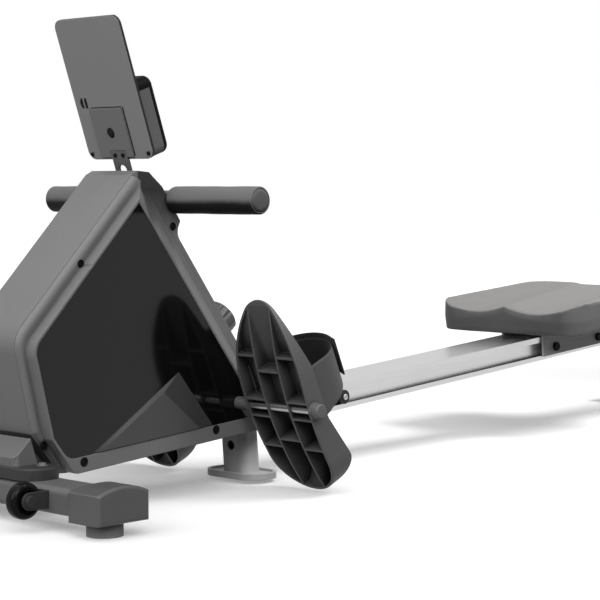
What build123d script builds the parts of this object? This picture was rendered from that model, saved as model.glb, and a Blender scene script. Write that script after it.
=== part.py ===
from build123d import *
import math
import os

# A folding rowing machine with a flywheel, a pull strap, swinging footplates and a seat on a rail.
# Sizes are in millimetres. While modelling, X is 0 at the mid post and grows to the rear,
# Y grows to the rower's right, Z is 0 on the floor. Each piece is moved to the final origin when saved.

# Slope and centre line shared by the beam and the rail
INCLINE = 4.68
RAIL_DATUM_Z = 104.5

# Running fits
SHAFT_CLEARANCE = 0.05
SEAT_CLEARANCE = 0.3

# Rail section and length, in the rail's own slanted frame
RAIL_WIDTH = 84.0
RAIL_HEIGHT = 42.5
RAIL_TOP_LIP = 10.5
RAIL_BOTTOM_LIP = 8.0
RAIL_CHANNEL_DEPTH = 11.0
RAIL_WALL = 3.0
RAIL_START = 74.0
RAIL_END = 1345.0
RAIL_CAP_THICKNESS = 4.0
RAIL_HALF_HEIGHT = RAIL_HEIGHT / 2
RAIL_WEB_HALF = RAIL_WIDTH / 2 - RAIL_CHANNEL_DEPTH
CHANNEL_TOP = RAIL_HALF_HEIGHT - RAIL_TOP_LIP
CHANNEL_BOTTOM = -RAIL_HALF_HEIGHT + RAIL_BOTTOM_LIP
CHANNEL_MIDDLE = (CHANNEL_TOP + CHANNEL_BOTTOM) / 2

# Fold hinge between beam and rail
PIVOT_U = 52.0
PIVOT_RADIUS = 6.0
TONGUE_HALF_WIDTH = 27.5
TONGUE_NOSE_RADIUS = 14.0
TONGUE_END = 150.0
CHEEK_THICKNESS = 4.0
CHEEK_NOSE_RADIUS = 18.0
CHEEK_FRONT = -30.0
HINGE_SIDE_GAP = 0.5
FOLD_KNOB_RADIUS = 20.0
FOLD_KNOB_WIDTH = 24.0
FOLD_KNOB_LOBES = 6
FOLD_NUT_WIDTH = 8.0
NUT_RADIUS = 10.5

# Main beam, mid post and its foot plate
BEAM_HALF_WIDTH = TONGUE_HALF_WIDTH + HINGE_SIDE_GAP
BEAM_HALF_HEIGHT = 17.0
BEAM_WALL = 2.5
BEAM_FRONT = -470.0
BEAM_REAR = PIVOT_U - TONGUE_NOSE_RADIUS - 2.0
POST_U = -10.0
POST_DEPTH = 40.0
POST_WIDTH = 52.0
POST_CORNER = 12.0
POST_WALL = 2.5
POST_HOLE_RADIUS = 7.5
POST_HOLE_DROP = 29.0
MID_FOOT_GAP = 6.0
MID_FOOT_THICKNESS = 7.0
MID_FOOT_DEPTH = 70.0
MID_FOOT_WIDTH = 118.0
MID_FOOT_CORNER = 30.0
MID_FOOT_RIM_WIDTH = 5.0
MID_FOOT_RIM_HEIGHT = 3.0

# Front stabilizer, end caps and feet
FOOT_RADIUS = 24.7
FOOT_HEIGHT = 20.0
FOOT_Y = 211.0
STAB_X = -460.0
STAB_WIDTH = 64.0
STAB_HEIGHT = 38.0
STAB_CORNER = 10.0
STAB_WALL = 2.5
STAB_HALF_LENGTH = 215.0
CAP_WALL = 2.5
CAP_WIDTH = 88.0
CAP_SIDE_HEIGHT = 40.0
CAP_ARCH = 10.0
CAP_INNER_Y = 190.0
CAP_OUTER_Y = 251.0
CAP_EDGE = 5.0
CAP_RAMP_LENGTH = 26.0
CAP_RAMP_RISE = 12.0
STAB_BOTTOM = FOOT_HEIGHT + CAP_WALL
STAB_TOP = STAB_BOTTOM + STAB_HEIGHT
STAB_MIDDLE_Z = (STAB_BOTTOM + STAB_TOP) / 2
STAB_FRONT_X = STAB_X - STAB_WIDTH / 2

# Saddle on the stabilizer and its bevelled cover
SADDLE_HALF_WIDTH = 95.0
SADDLE_TOP = 77.0
SADDLE_CORNER = 28.0
SADDLE_CHAMFER = 2.0
COVER_HALF_WIDTH = 60.0
COVER_FRONT_X = -490.0
COVER_LIP_Z = 89.5
COVER_TOP_X = -463.5
COVER_TOP_Z = 114.0
COVER_REAR_X = -451.0
COVER_WALL = 3.0
COVER_EDGE = 6.0

# Transport wheels on forked brackets
WHEEL_X = -523.0
WHEEL_Z = 43.0
WHEEL_Y = 120.0
WHEEL_RADIUS = 25.0
WHEEL_WIDTH = 20.0
WHEEL_ROUNDING = 7.0
WHEEL_DISH_RADIUS = 15.0
WHEEL_DISH_DEPTH = 3.0
WHEEL_AXLE_RADIUS = 4.0
WHEEL_SIDE_GAP = 1.0
FORK_THICKNESS = 4.0
FORK_RADIUS = 12.0
FORK_BACK_THICKNESS = 2.0

# Housing: half widths of the flange strip, of the rounded body and of the side face
CORE_HALF = 44.0
FLANGE_HALF = 50.0
BODY_HALF = 56.0
SIDE_HALF = 75.0
SHELL_WALL = 3.0
BODY_WALL = 4.0
BODY_EDGE = 12.0
KNEE_RADIUS = 40.0
RIM_KNEE_RADIUS = 30.0
RIM_TOE_RADIUS = 12.0
CORE_RECESS = 4.0
# Housing outline points in X and Z
SLOPE_TOP = (-272.0, 474.0)
BODY_KNEE = (-487.0, 252.0)
BODY_CHIN = (-455.0, 118.0)
BODY_TOE_X = -405.0
RIM_KNEE = (-470.0, 240.0)
RIM_CHIN = (-438.0, 111.0)
RIM_TOE_X = -398.4
RIM_TOP = (-256.0, 463.0)
BOTTOM_AT_POST = 91.8
REAR_X_AT_BOTTOM = 34.0
REAR_SLOPE = 53.4
BEVEL_INSET = 12.0
BEVEL_RUN = 32.0
CAP_FRONT = (-260.0, 480.0)
CAP_BACK = (-237.0, 478.0)
CAP_CORNER = (-229.0, 471.0)
HOOK_TIP = (-176.0, 406.7)
HOOK_ROOT_Z = 389.0
HOOK_ROOT_RADIUS = 20.0
HOOK_TIP_RADIUS = 3.0
REST_TOP = (-212.0, 457.4)

# Gloss side panels and shell screws
PANEL_RIM = 4.0
PANEL_STRIP = 22.5
PANEL_RECESS = 2.8
PANEL_THICKNESS = 2.4
PANEL_GAP = 0.3
PANEL_CORNER = 24.0
# Raised facet low on the panel: places along X on its lower edge, and peaks in X and Z
FACET_FRONT_X = -366.0
FACET_REAR_X = -136.0
FACET_PEAK = (-203.0, 188.0)
FACET_TOP_FRONT_X = -351.0
FACET_TOP_REAR_X = -163.0
FACET_TOP_PEAK = (-238.0, 161.0)
FACET_MARGIN = 1.0
FACET_SINK = 1.0
FACET_LOW_HEIGHT = 2.0
FACET_HEIGHT = 7.0
SCREW_HEAD_RADIUS = 4.0
SCREW_HEAD_HEIGHT = 2.5
SCREW_SHANK_RADIUS = 2.0
SCREW_RECESS_RADIUS = 5.0
SCREW_RECESS_DEPTH = 4.0
SCREW_LENGTH = 14.0
# Screw places in X and Z with the face each one is sunk into
SHELL_SCREWS = [
    (-381.8, 75.0, SIDE_HALF), (-128.6, 96.5, SIDE_HALF),
    (-369.6, 349.7, BODY_HALF), (-436.5, 101.5, BODY_HALF)]
REST_SCREW = (-191.0, 399.0)

# Handle at rest on the hooks
HANDLE_X = -186.8
HANDLE_Z = 437.7
BAR_RADIUS = 14.0
BAR_WALL = 2.0
BAR_HALF_LENGTH = 214.0
GRIP_RADIUS = 20.0
GRIP_FLANGE_GAP = 1.0
GRIP_INNER_Y = FLANGE_HALF + GRIP_FLANGE_GAP
GRIP_OUTER_Y = 228.0
GRIP_END_ROUNDING = 3.0
CLAMP_RADIUS = 16.5
CLAMP_HALF_WIDTH = 14.0

# Side plates and the drive inside the housing
PLATE_THICKNESS = 4.0
PLATE_INNER = BEAM_HALF_WIDTH
PLATE_OUTER = PLATE_INNER + PLATE_THICKNESS
PLATE_OUTLINE = [
    (-395.0, 66.0), (-50.0, 92.0), (-50.0, 160.0), (-115.0, 230.0), (-195.0, 375.0), (-226.0, 427.0),
    (-248.0, 455.0), (-248.0, 468.7), (-264.0, 468.7), (-288.0, 435.0), (-288.0, 345.0), (-375.0, 255.0),
    (-395.0, 200.0)]
FLYWHEEL_X = -345.0
FLYWHEEL_Z = 215.0
FLYWHEEL_RADIUS = 95.0
FLYWHEEL_RIM_INNER = 70.0
FLYWHEEL_HALF_WIDTH = 13.0
FLYWHEEL_WEB_HALF = 5.0
FLYWHEEL_HUB_RADIUS = 20.0
AXLE_RADIUS = 8.5
BEARING_OUTER_RADIUS = 16.0
BEARING_WIDTH = 7.0
SPOOL_X = -165.0
SPOOL_Z = 195.0
SPOOL_CORE_RADIUS = 26.0
SPOOL_FLANGE_RADIUS = 34.0
SPOOL_FLANGE_WIDTH = 2.5
SPOOL_HALF_WIDTH = 14.5
PULLEY_RADIUS = 70.0
SMALL_PULLEY_RADIUS = 16.0
PULLEY_INNER_Y = 36.0
PULLEY_OUTER_Y = 48.0
BELT_THICKNESS = 3.0
BELT_MARGIN = 2.0
RECOIL_RADIUS = 55.0
GUIDE_X = -236.0
GUIDE_RADIUS = 10.0
GUIDE_HALF_WIDTH = 13.0
GUIDE_PIN_RADIUS = 4.0
STRAP_THICKNESS = 1.5
STRAP_HALF_WIDTH = 11.0
STRAP_SLOT_HALF_WIDTH = 14.0
STRAP_SLOT_HALF_HEIGHT = 7.0

# Magnetic brake and its knob
ARM_X = -300.0
ARM_Z = 336.0
ARM_INNER_RADIUS = 107.0
ARM_OUTER_RADIUS = 112.0
ARM_HALF_WIDTH = 17.0
ARM_FROM = 20.0
ARM_TO = 64.0
ARM_EYE_RADIUS = 10.0
ARM_PIN_RADIUS = 4.0
MAGNET_THICKNESS = 4.0
MAGNET_LENGTH = 18.0
MAGNET_ANGLES = [27.0, 40.0, 53.0]
KNOB_Z = 237.0
KNOB_RADIUS = 28.0
KNOB_BASE = 6.0
KNOB_HEIGHT = 34.0
KNOB_FLUTES = 10
KNOB_FLUTE_RADIUS = 5.0
KNOB_SHAFT_RADIUS = 5.0
KNOB_SHAFT_LENGTH = 22.0
COLLAR_RADIUS = 33.0
CABLE_RADIUS = 2.0
CABLE_BEND = 30.0
CABLE_START_DEPTH = 40.0
CABLE_END_ANGLE = 17.8
CABLE_END_GAP = 2.5
CABLE_FIRST_BEND = (-41.0, 48.0)
CABLE_LAST_BEND = (31.0, 18.0)

# Console plate, body and bracket, in the console's own tilted frame
CONSOLE_TILT = 19.2
CONSOLE_X = -245.0
CONSOLE_Z = 497.0
CONSOLE_WIDTH = 141.0
CONSOLE_HEIGHT = 211.5
CONSOLE_THICKNESS = 5.0
CONSOLE_CORNER = 14.0
BODY_WIDTH = 137.0
BODY_HEIGHT = 115.0
BODY_DEPTH = 31.0
BODY_SKIN = 2.5
LENS_WIDTH = 96.0
LENS_HEIGHT = 50.0
LENS_Z = 72.0
LENS_THICKNESS = 2.0
BUTTON_WIDTH = 24.0
BUTTON_HEIGHT = 12.0
BUTTON_Z = 26.0
BUTTON_STEP = 36.0
BUTTON_PROUD = 2.0
BUTTON_TRAVEL = 1.0
BUTTON_GAP = 0.3
BATTERY_WIDTH = 70.0
BATTERY_HEIGHT = 74.0
BATTERY_Y = 5.0
BATTERY_BOTTOM = 4.0
BATTERY_COVER_THICKNESS = 2.5
BATTERY_PROUD = 3.5
BATTERY_GAP = 0.4
THUMB_RADIUS = 8.0
CABLE_SLOT_WIDTH = 4.0
CABLE_SLOT_HEIGHT = 16.0
BRACKET_WIDTH = 34.0
BRACKET_THICKNESS = 3.0
BRACKET_RISE = 14.0
BRACKET_FOOT_Z = 472.0
BRACKET_ARCH_RADIUS = 8.0
CONSOLE_SCREW_RADIUS = 3.0
CONSOLE_SCREW_HEIGHT = 1.8
CONSOLE_SCREW_INSET = 8.5

# Footplates, their straps and axle
AXLE_X = -82.65
AXLE_Z = 133.5
FOOT_AXLE_RADIUS = 6.0
FOOT_AXLE_END = 243.0
PEDAL_Y = 167.0
PEDAL_HALF_WIDTH = 65.0
PEDAL_BOW = 3.6
PEDAL_TILT = 23.3
PEDAL_TOE = 167.0
PEDAL_HEEL = -147.4
PEDAL_RIM_SAG = -8.4
PEDAL_RIM_END = 16.0
PEDAL_SIDE_WALL = 3.5
PEDAL_FLOOR = 4.0
PEDAL_RIB = 3.0
PEDAL_RIB_Y = 22.0
HEEL_TIP = (50.0, -100.0)
HEEL_BEND = (24.7, -25.0)
TOE_BEND = (22.0, 64.0)
TOE_DIP = (15.8, 132.0)
TOE_EDGE = 2.5
INSTEP_SAG = 1.5
TOE_START = 40.0
TOE_RADIUS = 36.0
SIDE_BAY_RIBS = [84.0, 14.0, -14.0, -67.0]
MIDDLE_BAY_RIBS = [61.0, -53.0]
FOOT_STRAP_HALF_WIDTH = 59.0
FOOT_STRAP_THICKNESS = 2.2
FOOT_STRAP_LOW = -22.0
FOOT_STRAP_HIGH = 59.0
FOOT_STRAP_ROOT = 12.0
FOOT_STRAP_SHOULDER = 51.0
STRAP_SLOT_GAP = 0.6
SPACER_RADIUS = 9.5
WASHER_RADIUS = 13.0
WASHER_THICKNESS = 2.5
AXLE_CAP_RADIUS = 11.0
AXLE_CAP_LENGTH = 12.5
AXLE_CAP_ROUNDING = 3.0
HOUSING_AXLE_HOLE = 8.0

# Rear leg and stabilizer
REAR_INSET = 40.0
REAR_X = RAIL_END - REAR_INSET
REAR_HALF_LENGTH = 185.0
REAR_CAP_INNER_Y = 150.0
REAR_CAP_OUTER_Y = 205.0
REAR_FOOT_Y = 176.0
LEG_DEPTH = 34.0
LEG_WIDTH = 56.0
LEG_WALL = 2.5
LEG_PLATE_LENGTH = 90.0
LEG_PLATE_THICKNESS = 4.0

# Seat, carriage, rollers and stops, in the rail's own slanted frame
SEAT_U = 822.7
SEAT_LENGTH = 302.0
SEAT_FORWARD = 5.5
SEAT_WIDTH = 316.0
SEAT_BOTTOM = 32.0
SEAT_WAIST = 58.0
SEAT_TOP = 89.0
SEAT_HOLLOW_LOW = 70.0
SEAT_HOLLOW_TILT = 3.8
SEAT_HOLLOW_Y = 70.0
SEAT_HOLLOW_RADIUS = 210.0
SEAT_FRONT_CORNER = 40.0
SEAT_SIDE_TAPER = 4.0
TAIL_RADIUS = 55.0
TAIL_DEPTH = 22.0
CARRIAGE_LENGTH = 206.0
CARRIAGE_WALL = 3.5
CARRIAGE_SIDE_GAP = 1.5
CARRIAGE_LOW = -15.0
CARRIAGE_ROOF_LOW = 26.0
CARRIAGE_ROOF_HIGH = 30.0
PAD_LENGTH = 160.0
PAD_WIDTH = 120.0
ROLLER_SPACING = 132.5
ROLLER_CLEARANCE = 0.4
ROLLER_BOLT_RADIUS = 4.0
ROLLER_INNER_GAP = 0.8
BOLT_HEAD_RADIUS = 8.0
BOLT_HEAD_HEIGHT = 4.5
STOP_FRONT_U = 183.6
STOP_REAR_INSET = 23.0
STOP_REAR_U = RAIL_END - STOP_REAR_INSET
STOP_RADIUS = 11.5
STOP_REACH = 6.0
STOP_BOLT_RADIUS = 5.0

# Frames and values worked out from the sizes above
RAIL_FRAME = Pos(0, 0, RAIL_DATUM_Z) * Rot(0, -INCLINE, 0)
CONSOLE_FRAME = Pos(CONSOLE_X, 0, CONSOLE_Z) * Rot(0, -CONSOLE_TILT, 0)
PEDAL_FRAME = Pos(AXLE_X, 0, AXLE_Z) * Rot(0, -PEDAL_TILT, 0)
SLOPE_NORMAL = Vector(math.sin(math.radians(REAR_SLOPE)), 0, math.cos(math.radians(REAR_SLOPE)))
SLOPE_DOWN = Vector(math.cos(math.radians(REAR_SLOPE)), 0, -math.sin(math.radians(REAR_SLOPE)))
RISE = math.tan(math.radians(INCLINE))
FRONT_END_X = WHEEL_X - WHEEL_RADIUS
REAR_END_X = REAR_X + CAP_WIDTH / 2
ORIGIN_X = (FRONT_END_X + REAR_END_X) / 2
GUIDE_Z = HANDLE_Z - GUIDE_RADIUS - SEAT_CLEARANCE - STRAP_THICKNESS / 2
FAR = 2000.0


def bottom_z(x):
    """Height of the housing's bottom edge at x."""
    return BOTTOM_AT_POST + RISE * x


def rear_x(z, inset=0.0):
    """Place of the rear slope at height z, moved into the housing by inset."""
    foot_z = bottom_z(REAR_X_AT_BOTTOM)
    along = (z - foot_z) / math.tan(math.radians(REAR_SLOPE))
    return REAR_X_AT_BOTTOM - along - inset / math.sin(math.radians(REAR_SLOPE))


def block(x_range, y_range, z_range):
    """A box between two limits on each axis."""
    limits = (x_range, y_range, z_range)
    middle = [(low + high) / 2 for low, high in limits]
    size = [high - low for low, high in limits]
    return Pos(*middle) * Box(*size)


def rod(radius, x, z, y_range):
    """A round bar along Y."""
    low, high = y_range
    return Pos(x, (low + high) / 2, z) * Rot(90, 0, 0) * Cylinder(radius, high - low)


def ring(outer, inner, x, z, y_range):
    """A tube or washer along Y."""
    return rod(outer, x, z, y_range) - rod(inner, x, z, y_range)


def outline(points):
    """A flat face in the X Z plane through the points."""
    return make_face(Polyline(*[(x, 0, z) for x, z in points], close=True))


def slab(face, y_range):
    """A face of the X Z plane made thick along Y."""
    low, high = y_range
    return Pos(0, low, 0) * extrude(face, amount=high - low, dir=(0, 1, 0))


def bar_y(width, height, corner, x, z, y_range):
    """A rounded rectangular bar along Y."""
    low, high = y_range
    plane = Plane(origin=(x, low, z), x_dir=(1, 0, 0), z_dir=(0, 1, 0))
    return extrude(plane * RectangleRounded(width, height, corner), amount=high - low)


def both_sides(piece):
    """The piece and its mirror image across the middle plane."""
    return piece + mirror(piece, about=Plane.XZ)


def across(shape):
    """The mirror image on the rower's left."""
    return mirror(shape, about=Plane.XZ)


# Frame: beam, post, stabilizers

def main_beam():
    """Slanted box beam with the two hinge cheeks welded to its rear end."""
    tube = block((BEAM_FRONT, BEAM_REAR), (-BEAM_HALF_WIDTH, BEAM_HALF_WIDTH), (-BEAM_HALF_HEIGHT, BEAM_HALF_HEIGHT))
    inner_half = BEAM_HALF_WIDTH - BEAM_WALL
    inner_height = BEAM_HALF_HEIGHT - BEAM_WALL
    hollow = block((BEAM_FRONT, BEAM_REAR), (-inner_half, inner_half), (-inner_height, inner_height))
    cheek_y = (BEAM_HALF_WIDTH, BEAM_HALF_WIDTH + CHEEK_THICKNESS)
    cheek = block((CHEEK_FRONT, PIVOT_U), cheek_y, (-CHEEK_NOSE_RADIUS, CHEEK_NOSE_RADIUS))
    cheek += rod(CHEEK_NOSE_RADIUS, PIVOT_U, 0, cheek_y)
    cheek -= rod(PIVOT_RADIUS + SHAFT_CLEARANCE, PIVOT_U, 0, cheek_y)
    beam = RAIL_FRAME * (tube - hollow + both_sides(cheek))
    notch_half = STAB_WIDTH / 2 + SEAT_CLEARANCE
    beam -= block((STAB_X - notch_half, STAB_X + notch_half), (-FAR, FAR), (0, STAB_TOP))
    return beam


def mid_post():
    """Post under the hinge, welded to a rimmed foot plate that clears the floor."""
    plane = Plane(origin=(POST_U, 0, -BEAM_HALF_HEIGHT), z_dir=(0, 0, -1))
    tube = extrude(plane * RectangleRounded(POST_DEPTH, POST_WIDTH, POST_CORNER), amount=RAIL_DATUM_Z)
    bore = RectangleRounded(POST_DEPTH - 2 * POST_WALL, POST_WIDTH - 2 * POST_WALL, POST_CORNER - POST_WALL)
    tube -= extrude(plane * bore, amount=RAIL_DATUM_Z)
    hole_w = -BEAM_HALF_HEIGHT - POST_HOLE_DROP
    tube -= Pos(POST_U - POST_DEPTH / 2, 0, hole_w) * Rot(0, 90, 0) * Cylinder(POST_HOLE_RADIUS, 2 * POST_WALL + 1)
    plate_top = MID_FOOT_GAP + MID_FOOT_THICKNESS
    post = RAIL_FRAME * tube - block((-FAR, FAR), (-FAR, FAR), (-FAR, plate_top))
    foot_x = POST_U + (RAIL_DATUM_Z - plate_top) * RISE
    seat = Plane(origin=(foot_x, 0, MID_FOOT_GAP))
    plate = seat * RectangleRounded(MID_FOOT_DEPTH, MID_FOOT_WIDTH, MID_FOOT_CORNER)
    post += extrude(plate, amount=MID_FOOT_THICKNESS)
    inner_corner = MID_FOOT_CORNER - MID_FOOT_RIM_WIDTH
    inner_depth = MID_FOOT_DEPTH - 2 * MID_FOOT_RIM_WIDTH
    inner_width = MID_FOOT_WIDTH - 2 * MID_FOOT_RIM_WIDTH
    inner = seat * RectangleRounded(inner_depth, inner_width, inner_corner)
    rim_height = MID_FOOT_THICKNESS + MID_FOOT_RIM_HEIGHT
    post += extrude(plate, amount=rim_height) - extrude(inner, amount=rim_height)
    return post


def stabilizer_tube(x, half_length):
    """Rounded box tube across the machine."""
    y_range = (-half_length, half_length)
    tube = bar_y(STAB_WIDTH, STAB_HEIGHT, STAB_CORNER, x, STAB_MIDDLE_Z, y_range)
    bore = STAB_WIDTH - 2 * STAB_WALL
    return tube - bar_y(bore, STAB_HEIGHT - 2 * STAB_WALL, STAB_CORNER - STAB_WALL, x, STAB_MIDDLE_Z, y_range)


def end_cap(x, inner_y, outer_y, tube_end):
    """Moulded cap with an arched top that sleeves over the tube's right end."""
    left = x - CAP_WIDTH / 2
    right = x + CAP_WIDTH / 2
    low = FOOT_HEIGHT
    high = FOOT_HEIGHT + CAP_SIDE_HEIGHT
    sides = Polyline((left, 0, high), (left, 0, low), (right, 0, low), (right, 0, high))
    arch = ThreePointArc((right, 0, high), (x, 0, high + CAP_ARCH), (left, 0, high))
    cap = slab(make_face([*sides.edges(), arch]), (inner_y, outer_y))
    cap = fillet(cap.faces().sort_by(Axis.Y)[-1].edges(), CAP_EDGE)
    ramp_low = STAB_TOP + CAP_WALL
    ramp = [(inner_y, ramp_low), (inner_y + CAP_RAMP_LENGTH, ramp_low + CAP_RAMP_RISE),
            (inner_y, ramp_low + CAP_RAMP_RISE)]
    wedge = make_face(Polyline(*[(left, y, z) for y, z in ramp], close=True))
    cap -= extrude(wedge, amount=CAP_WIDTH, dir=(1, 0, 0))
    socket_width = STAB_WIDTH + 2 * SEAT_CLEARANCE
    socket_height = STAB_HEIGHT + 2 * SEAT_CLEARANCE
    socket_range = (inner_y - 1, tube_end + SEAT_CLEARANCE)
    socket = bar_y(socket_width, socket_height, STAB_CORNER + SEAT_CLEARANCE, x, STAB_MIDDLE_Z, socket_range)
    return cap - socket


def foot(x, y):
    """Round rubber foot under an end cap."""
    return Pos(x, y, FOOT_HEIGHT / 2) * Cylinder(FOOT_RADIUS, FOOT_HEIGHT)


def stabilizer_saddle():
    """Dark base on the stabilizer that the beam's front end passes through."""
    plan = Pos(STAB_X, 0, STAB_TOP) * RectangleRounded(STAB_WIDTH, 2 * SADDLE_HALF_WIDTH, SADDLE_CORNER)
    base = extrude(plan, amount=SADDLE_TOP - STAB_TOP)
    base = chamfer(base.faces().sort_by(Axis.Z)[-1].edges(), SADDLE_CHAMFER)
    return base - beam_tunnel()


def beam_tunnel():
    """Space that the beam takes, with a seating clearance all round."""
    half = BEAM_HALF_WIDTH + SEAT_CLEARANCE
    height = BEAM_HALF_HEIGHT + SEAT_CLEARANCE
    return RAIL_FRAME * block((BEAM_FRONT - SEAT_CLEARANCE, 0), (-half, half), (-height, height))


def saddle_cover():
    """Light bevelled cover over the beam's front end."""
    points = [(COVER_FRONT_X, SADDLE_TOP), (COVER_FRONT_X, COVER_LIP_Z),
              (COVER_TOP_X, COVER_TOP_Z), (COVER_REAR_X, SADDLE_TOP)]
    face = outline(points)
    cover = slab(face, (-COVER_HALF_WIDTH, COVER_HALF_WIDTH))
    front = cover.faces().sort_by(Axis.X)[0]
    cover = chamfer(front.edges().filter_by(Axis.Z), COVER_EDGE)
    inner_half = COVER_HALF_WIDTH - COVER_WALL
    hollow = slab(offset(face, -COVER_WALL, kind=Kind.INTERSECTION), (-inner_half, inner_half))
    return cover - hollow - beam_tunnel()


def wheel_bracket():
    """Fork on the stabilizer's front face that carries the right transport wheel and its bolt."""
    half = WHEEL_WIDTH / 2 + WHEEL_SIDE_GAP
    low_z = WHEEL_Z - FORK_RADIUS
    high_z = WHEEL_Z + FORK_RADIUS
    outer_y = WHEEL_Y + half + FORK_THICKNESS
    inner_y = WHEEL_Y - half - FORK_THICKNESS
    fork = block((STAB_FRONT_X - FORK_BACK_THICKNESS, STAB_FRONT_X), (inner_y, outer_y), (low_z, high_z))
    for y_range in ((inner_y, WHEEL_Y - half), (WHEEL_Y + half, outer_y)):
        fork += block((WHEEL_X, STAB_FRONT_X), y_range, (low_z, high_z))
        fork += rod(FORK_RADIUS, WHEEL_X, WHEEL_Z, y_range)
    fork += rod(WHEEL_AXLE_RADIUS, WHEEL_X, WHEEL_Z, (inner_y, outer_y))
    fork += rod(2 * WHEEL_AXLE_RADIUS, WHEEL_X, WHEEL_Z, (outer_y, outer_y + FORK_THICKNESS))
    return fork


def transport_wheel():
    """Glossy roller with rounded shoulders and dished sides."""
    low = WHEEL_Y - WHEEL_WIDTH / 2
    high = WHEEL_Y + WHEEL_WIDTH / 2
    wheel = rod(WHEEL_RADIUS, WHEEL_X, WHEEL_Z, (low, high))
    wheel = fillet(wheel.edges().filter_by(GeomType.CIRCLE), WHEEL_ROUNDING)
    wheel -= rod(WHEEL_DISH_RADIUS, WHEEL_X, WHEEL_Z, (high - WHEEL_DISH_DEPTH, high))
    wheel -= rod(WHEEL_DISH_RADIUS, WHEEL_X, WHEEL_Z, (low, low + WHEEL_DISH_DEPTH))
    return wheel - rod(WHEEL_AXLE_RADIUS + SHAFT_CLEARANCE, WHEEL_X, WHEEL_Z, (low, high))


# Housing shells and panels

def rear_wedge(inset):
    """Everything beyond the bevel between the side face and the flange strip, moved in by inset."""
    foot = Vector(REAR_X_AT_BOTTOM, 0, bottom_z(REAR_X_AT_BOTTOM)) - SLOPE_NORMAL * (BEVEL_INSET + inset)
    start = foot - SLOPE_DOWN * FAR
    edge_out = start - SLOPE_NORMAL * BEVEL_RUN
    points = []
    for corner, y in ((start, FLANGE_HALF), (edge_out, SIDE_HALF), (edge_out, 2 * SIDE_HALF)):
        points.append((corner.X, y, corner.Z))
    beyond = start + SLOPE_NORMAL * FAR
    points.append((beyond.X, 2 * SIDE_HALF, beyond.Z))
    points.append((beyond.X, FLANGE_HALF, beyond.Z))
    return extrude(make_face(Polyline(*points, close=True)), amount=2 * FAR, dir=SLOPE_DOWN)


def rounded_outline(points, rounded):
    """An outline whose chosen corners get a radius: rounded holds pairs of point and radius."""
    face = Sketch() + outline(points)
    for (x, z), radius in rounded:
        corner = face.vertices().sort_by_distance((x, 0, z))[0]
        face = fillet(corner, radius)
    return face


def core_face():
    """Middle of the housing between the flanges, with the rear slope set back."""
    foot_x = REAR_X_AT_BOTTOM - CORE_RECESS / math.sin(math.radians(REAR_SLOPE))
    points = [SLOPE_TOP, BODY_KNEE, BODY_CHIN, (BODY_TOE_X, bottom_z(BODY_TOE_X)), (foot_x, bottom_z(foot_x)),
              (rear_x(CAP_CORNER[1], CORE_RECESS), CAP_CORNER[1]), CAP_CORNER, CAP_BACK, CAP_FRONT]
    points[5] = (rear_x(REST_TOP[1], CORE_RECESS), REST_TOP[1])
    return rounded_outline(points, [(BODY_KNEE, KNEE_RADIUS)])


def flange_face():
    """Flange strip along the rear slope with the cap and the hook that the handle rests on."""
    points = [SLOPE_TOP, BODY_KNEE, BODY_CHIN, (BODY_TOE_X, bottom_z(BODY_TOE_X)),
              (REAR_X_AT_BOTTOM, bottom_z(REAR_X_AT_BOTTOM)), (rear_x(HOOK_ROOT_Z), HOOK_ROOT_Z), HOOK_TIP,
              REST_TOP, CAP_CORNER, CAP_BACK, CAP_FRONT]
    hook_root = (rear_x(HOOK_ROOT_Z), HOOK_ROOT_Z)
    rounded = [(BODY_KNEE, KNEE_RADIUS), (hook_root, HOOK_ROOT_RADIUS), (HOOK_TIP, HOOK_TIP_RADIUS)]
    return rounded_outline(points, rounded)


def body_face():
    """Rounded front body, ending behind at the foot of the bevel."""
    foot_x = REAR_X_AT_BOTTOM - BEVEL_INSET / math.sin(math.radians(REAR_SLOPE))
    top_z = RIM_TOP[1]
    points = [SLOPE_TOP, BODY_KNEE, BODY_CHIN, (BODY_TOE_X, bottom_z(BODY_TOE_X)), (foot_x, bottom_z(foot_x)),
              (rear_x(top_z, BEVEL_INSET), top_z)]
    return rounded_outline(points, [(BODY_KNEE, KNEE_RADIUS)])


def rim_face():
    """Outline of the side face before its rear edge is bevelled."""
    foot_x = REAR_X_AT_BOTTOM - BEVEL_INSET / math.sin(math.radians(REAR_SLOPE))
    toe = (RIM_TOE_X, bottom_z(RIM_TOE_X))
    points = [RIM_TOP, RIM_KNEE, RIM_CHIN, toe, (foot_x, bottom_z(foot_x))]
    return rounded_outline(points, [(RIM_KNEE, RIM_KNEE_RADIUS), (toe, RIM_TOE_RADIUS)])


def panel_face(gap):
    """Outline of the gloss panel, moved in by gap."""
    face = offset(rim_face(), -(PANEL_RIM + gap), kind=Kind.INTERSECTION)
    strip = PANEL_STRIP + gap
    below = [(-FAR, bottom_z(-FAR) - FAR), (-FAR, bottom_z(-FAR) + strip), (FAR, bottom_z(FAR) + strip),
             (FAR, bottom_z(FAR) - FAR)]
    face -= outline(below)
    corner = face.vertices().sort_by_distance((RIM_TOE_X, 0, bottom_z(RIM_TOE_X) + strip))[0]
    return fillet(corner, PANEL_CORNER - gap)


def right_panel():
    """Gloss side panel in its recess."""
    floor_y = SIDE_HALF - PANEL_RECESS
    plate = slab(panel_face(PANEL_GAP), (floor_y, floor_y + PANEL_THICKNESS))
    plate -= rear_wedge(PANEL_RIM + PANEL_GAP)
    plate += panel_facet(floor_y + PANEL_THICKNESS)
    return plate - rod(HOUSING_AXLE_HOLE, AXLE_X, AXLE_Z, (0, FAR))


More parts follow.
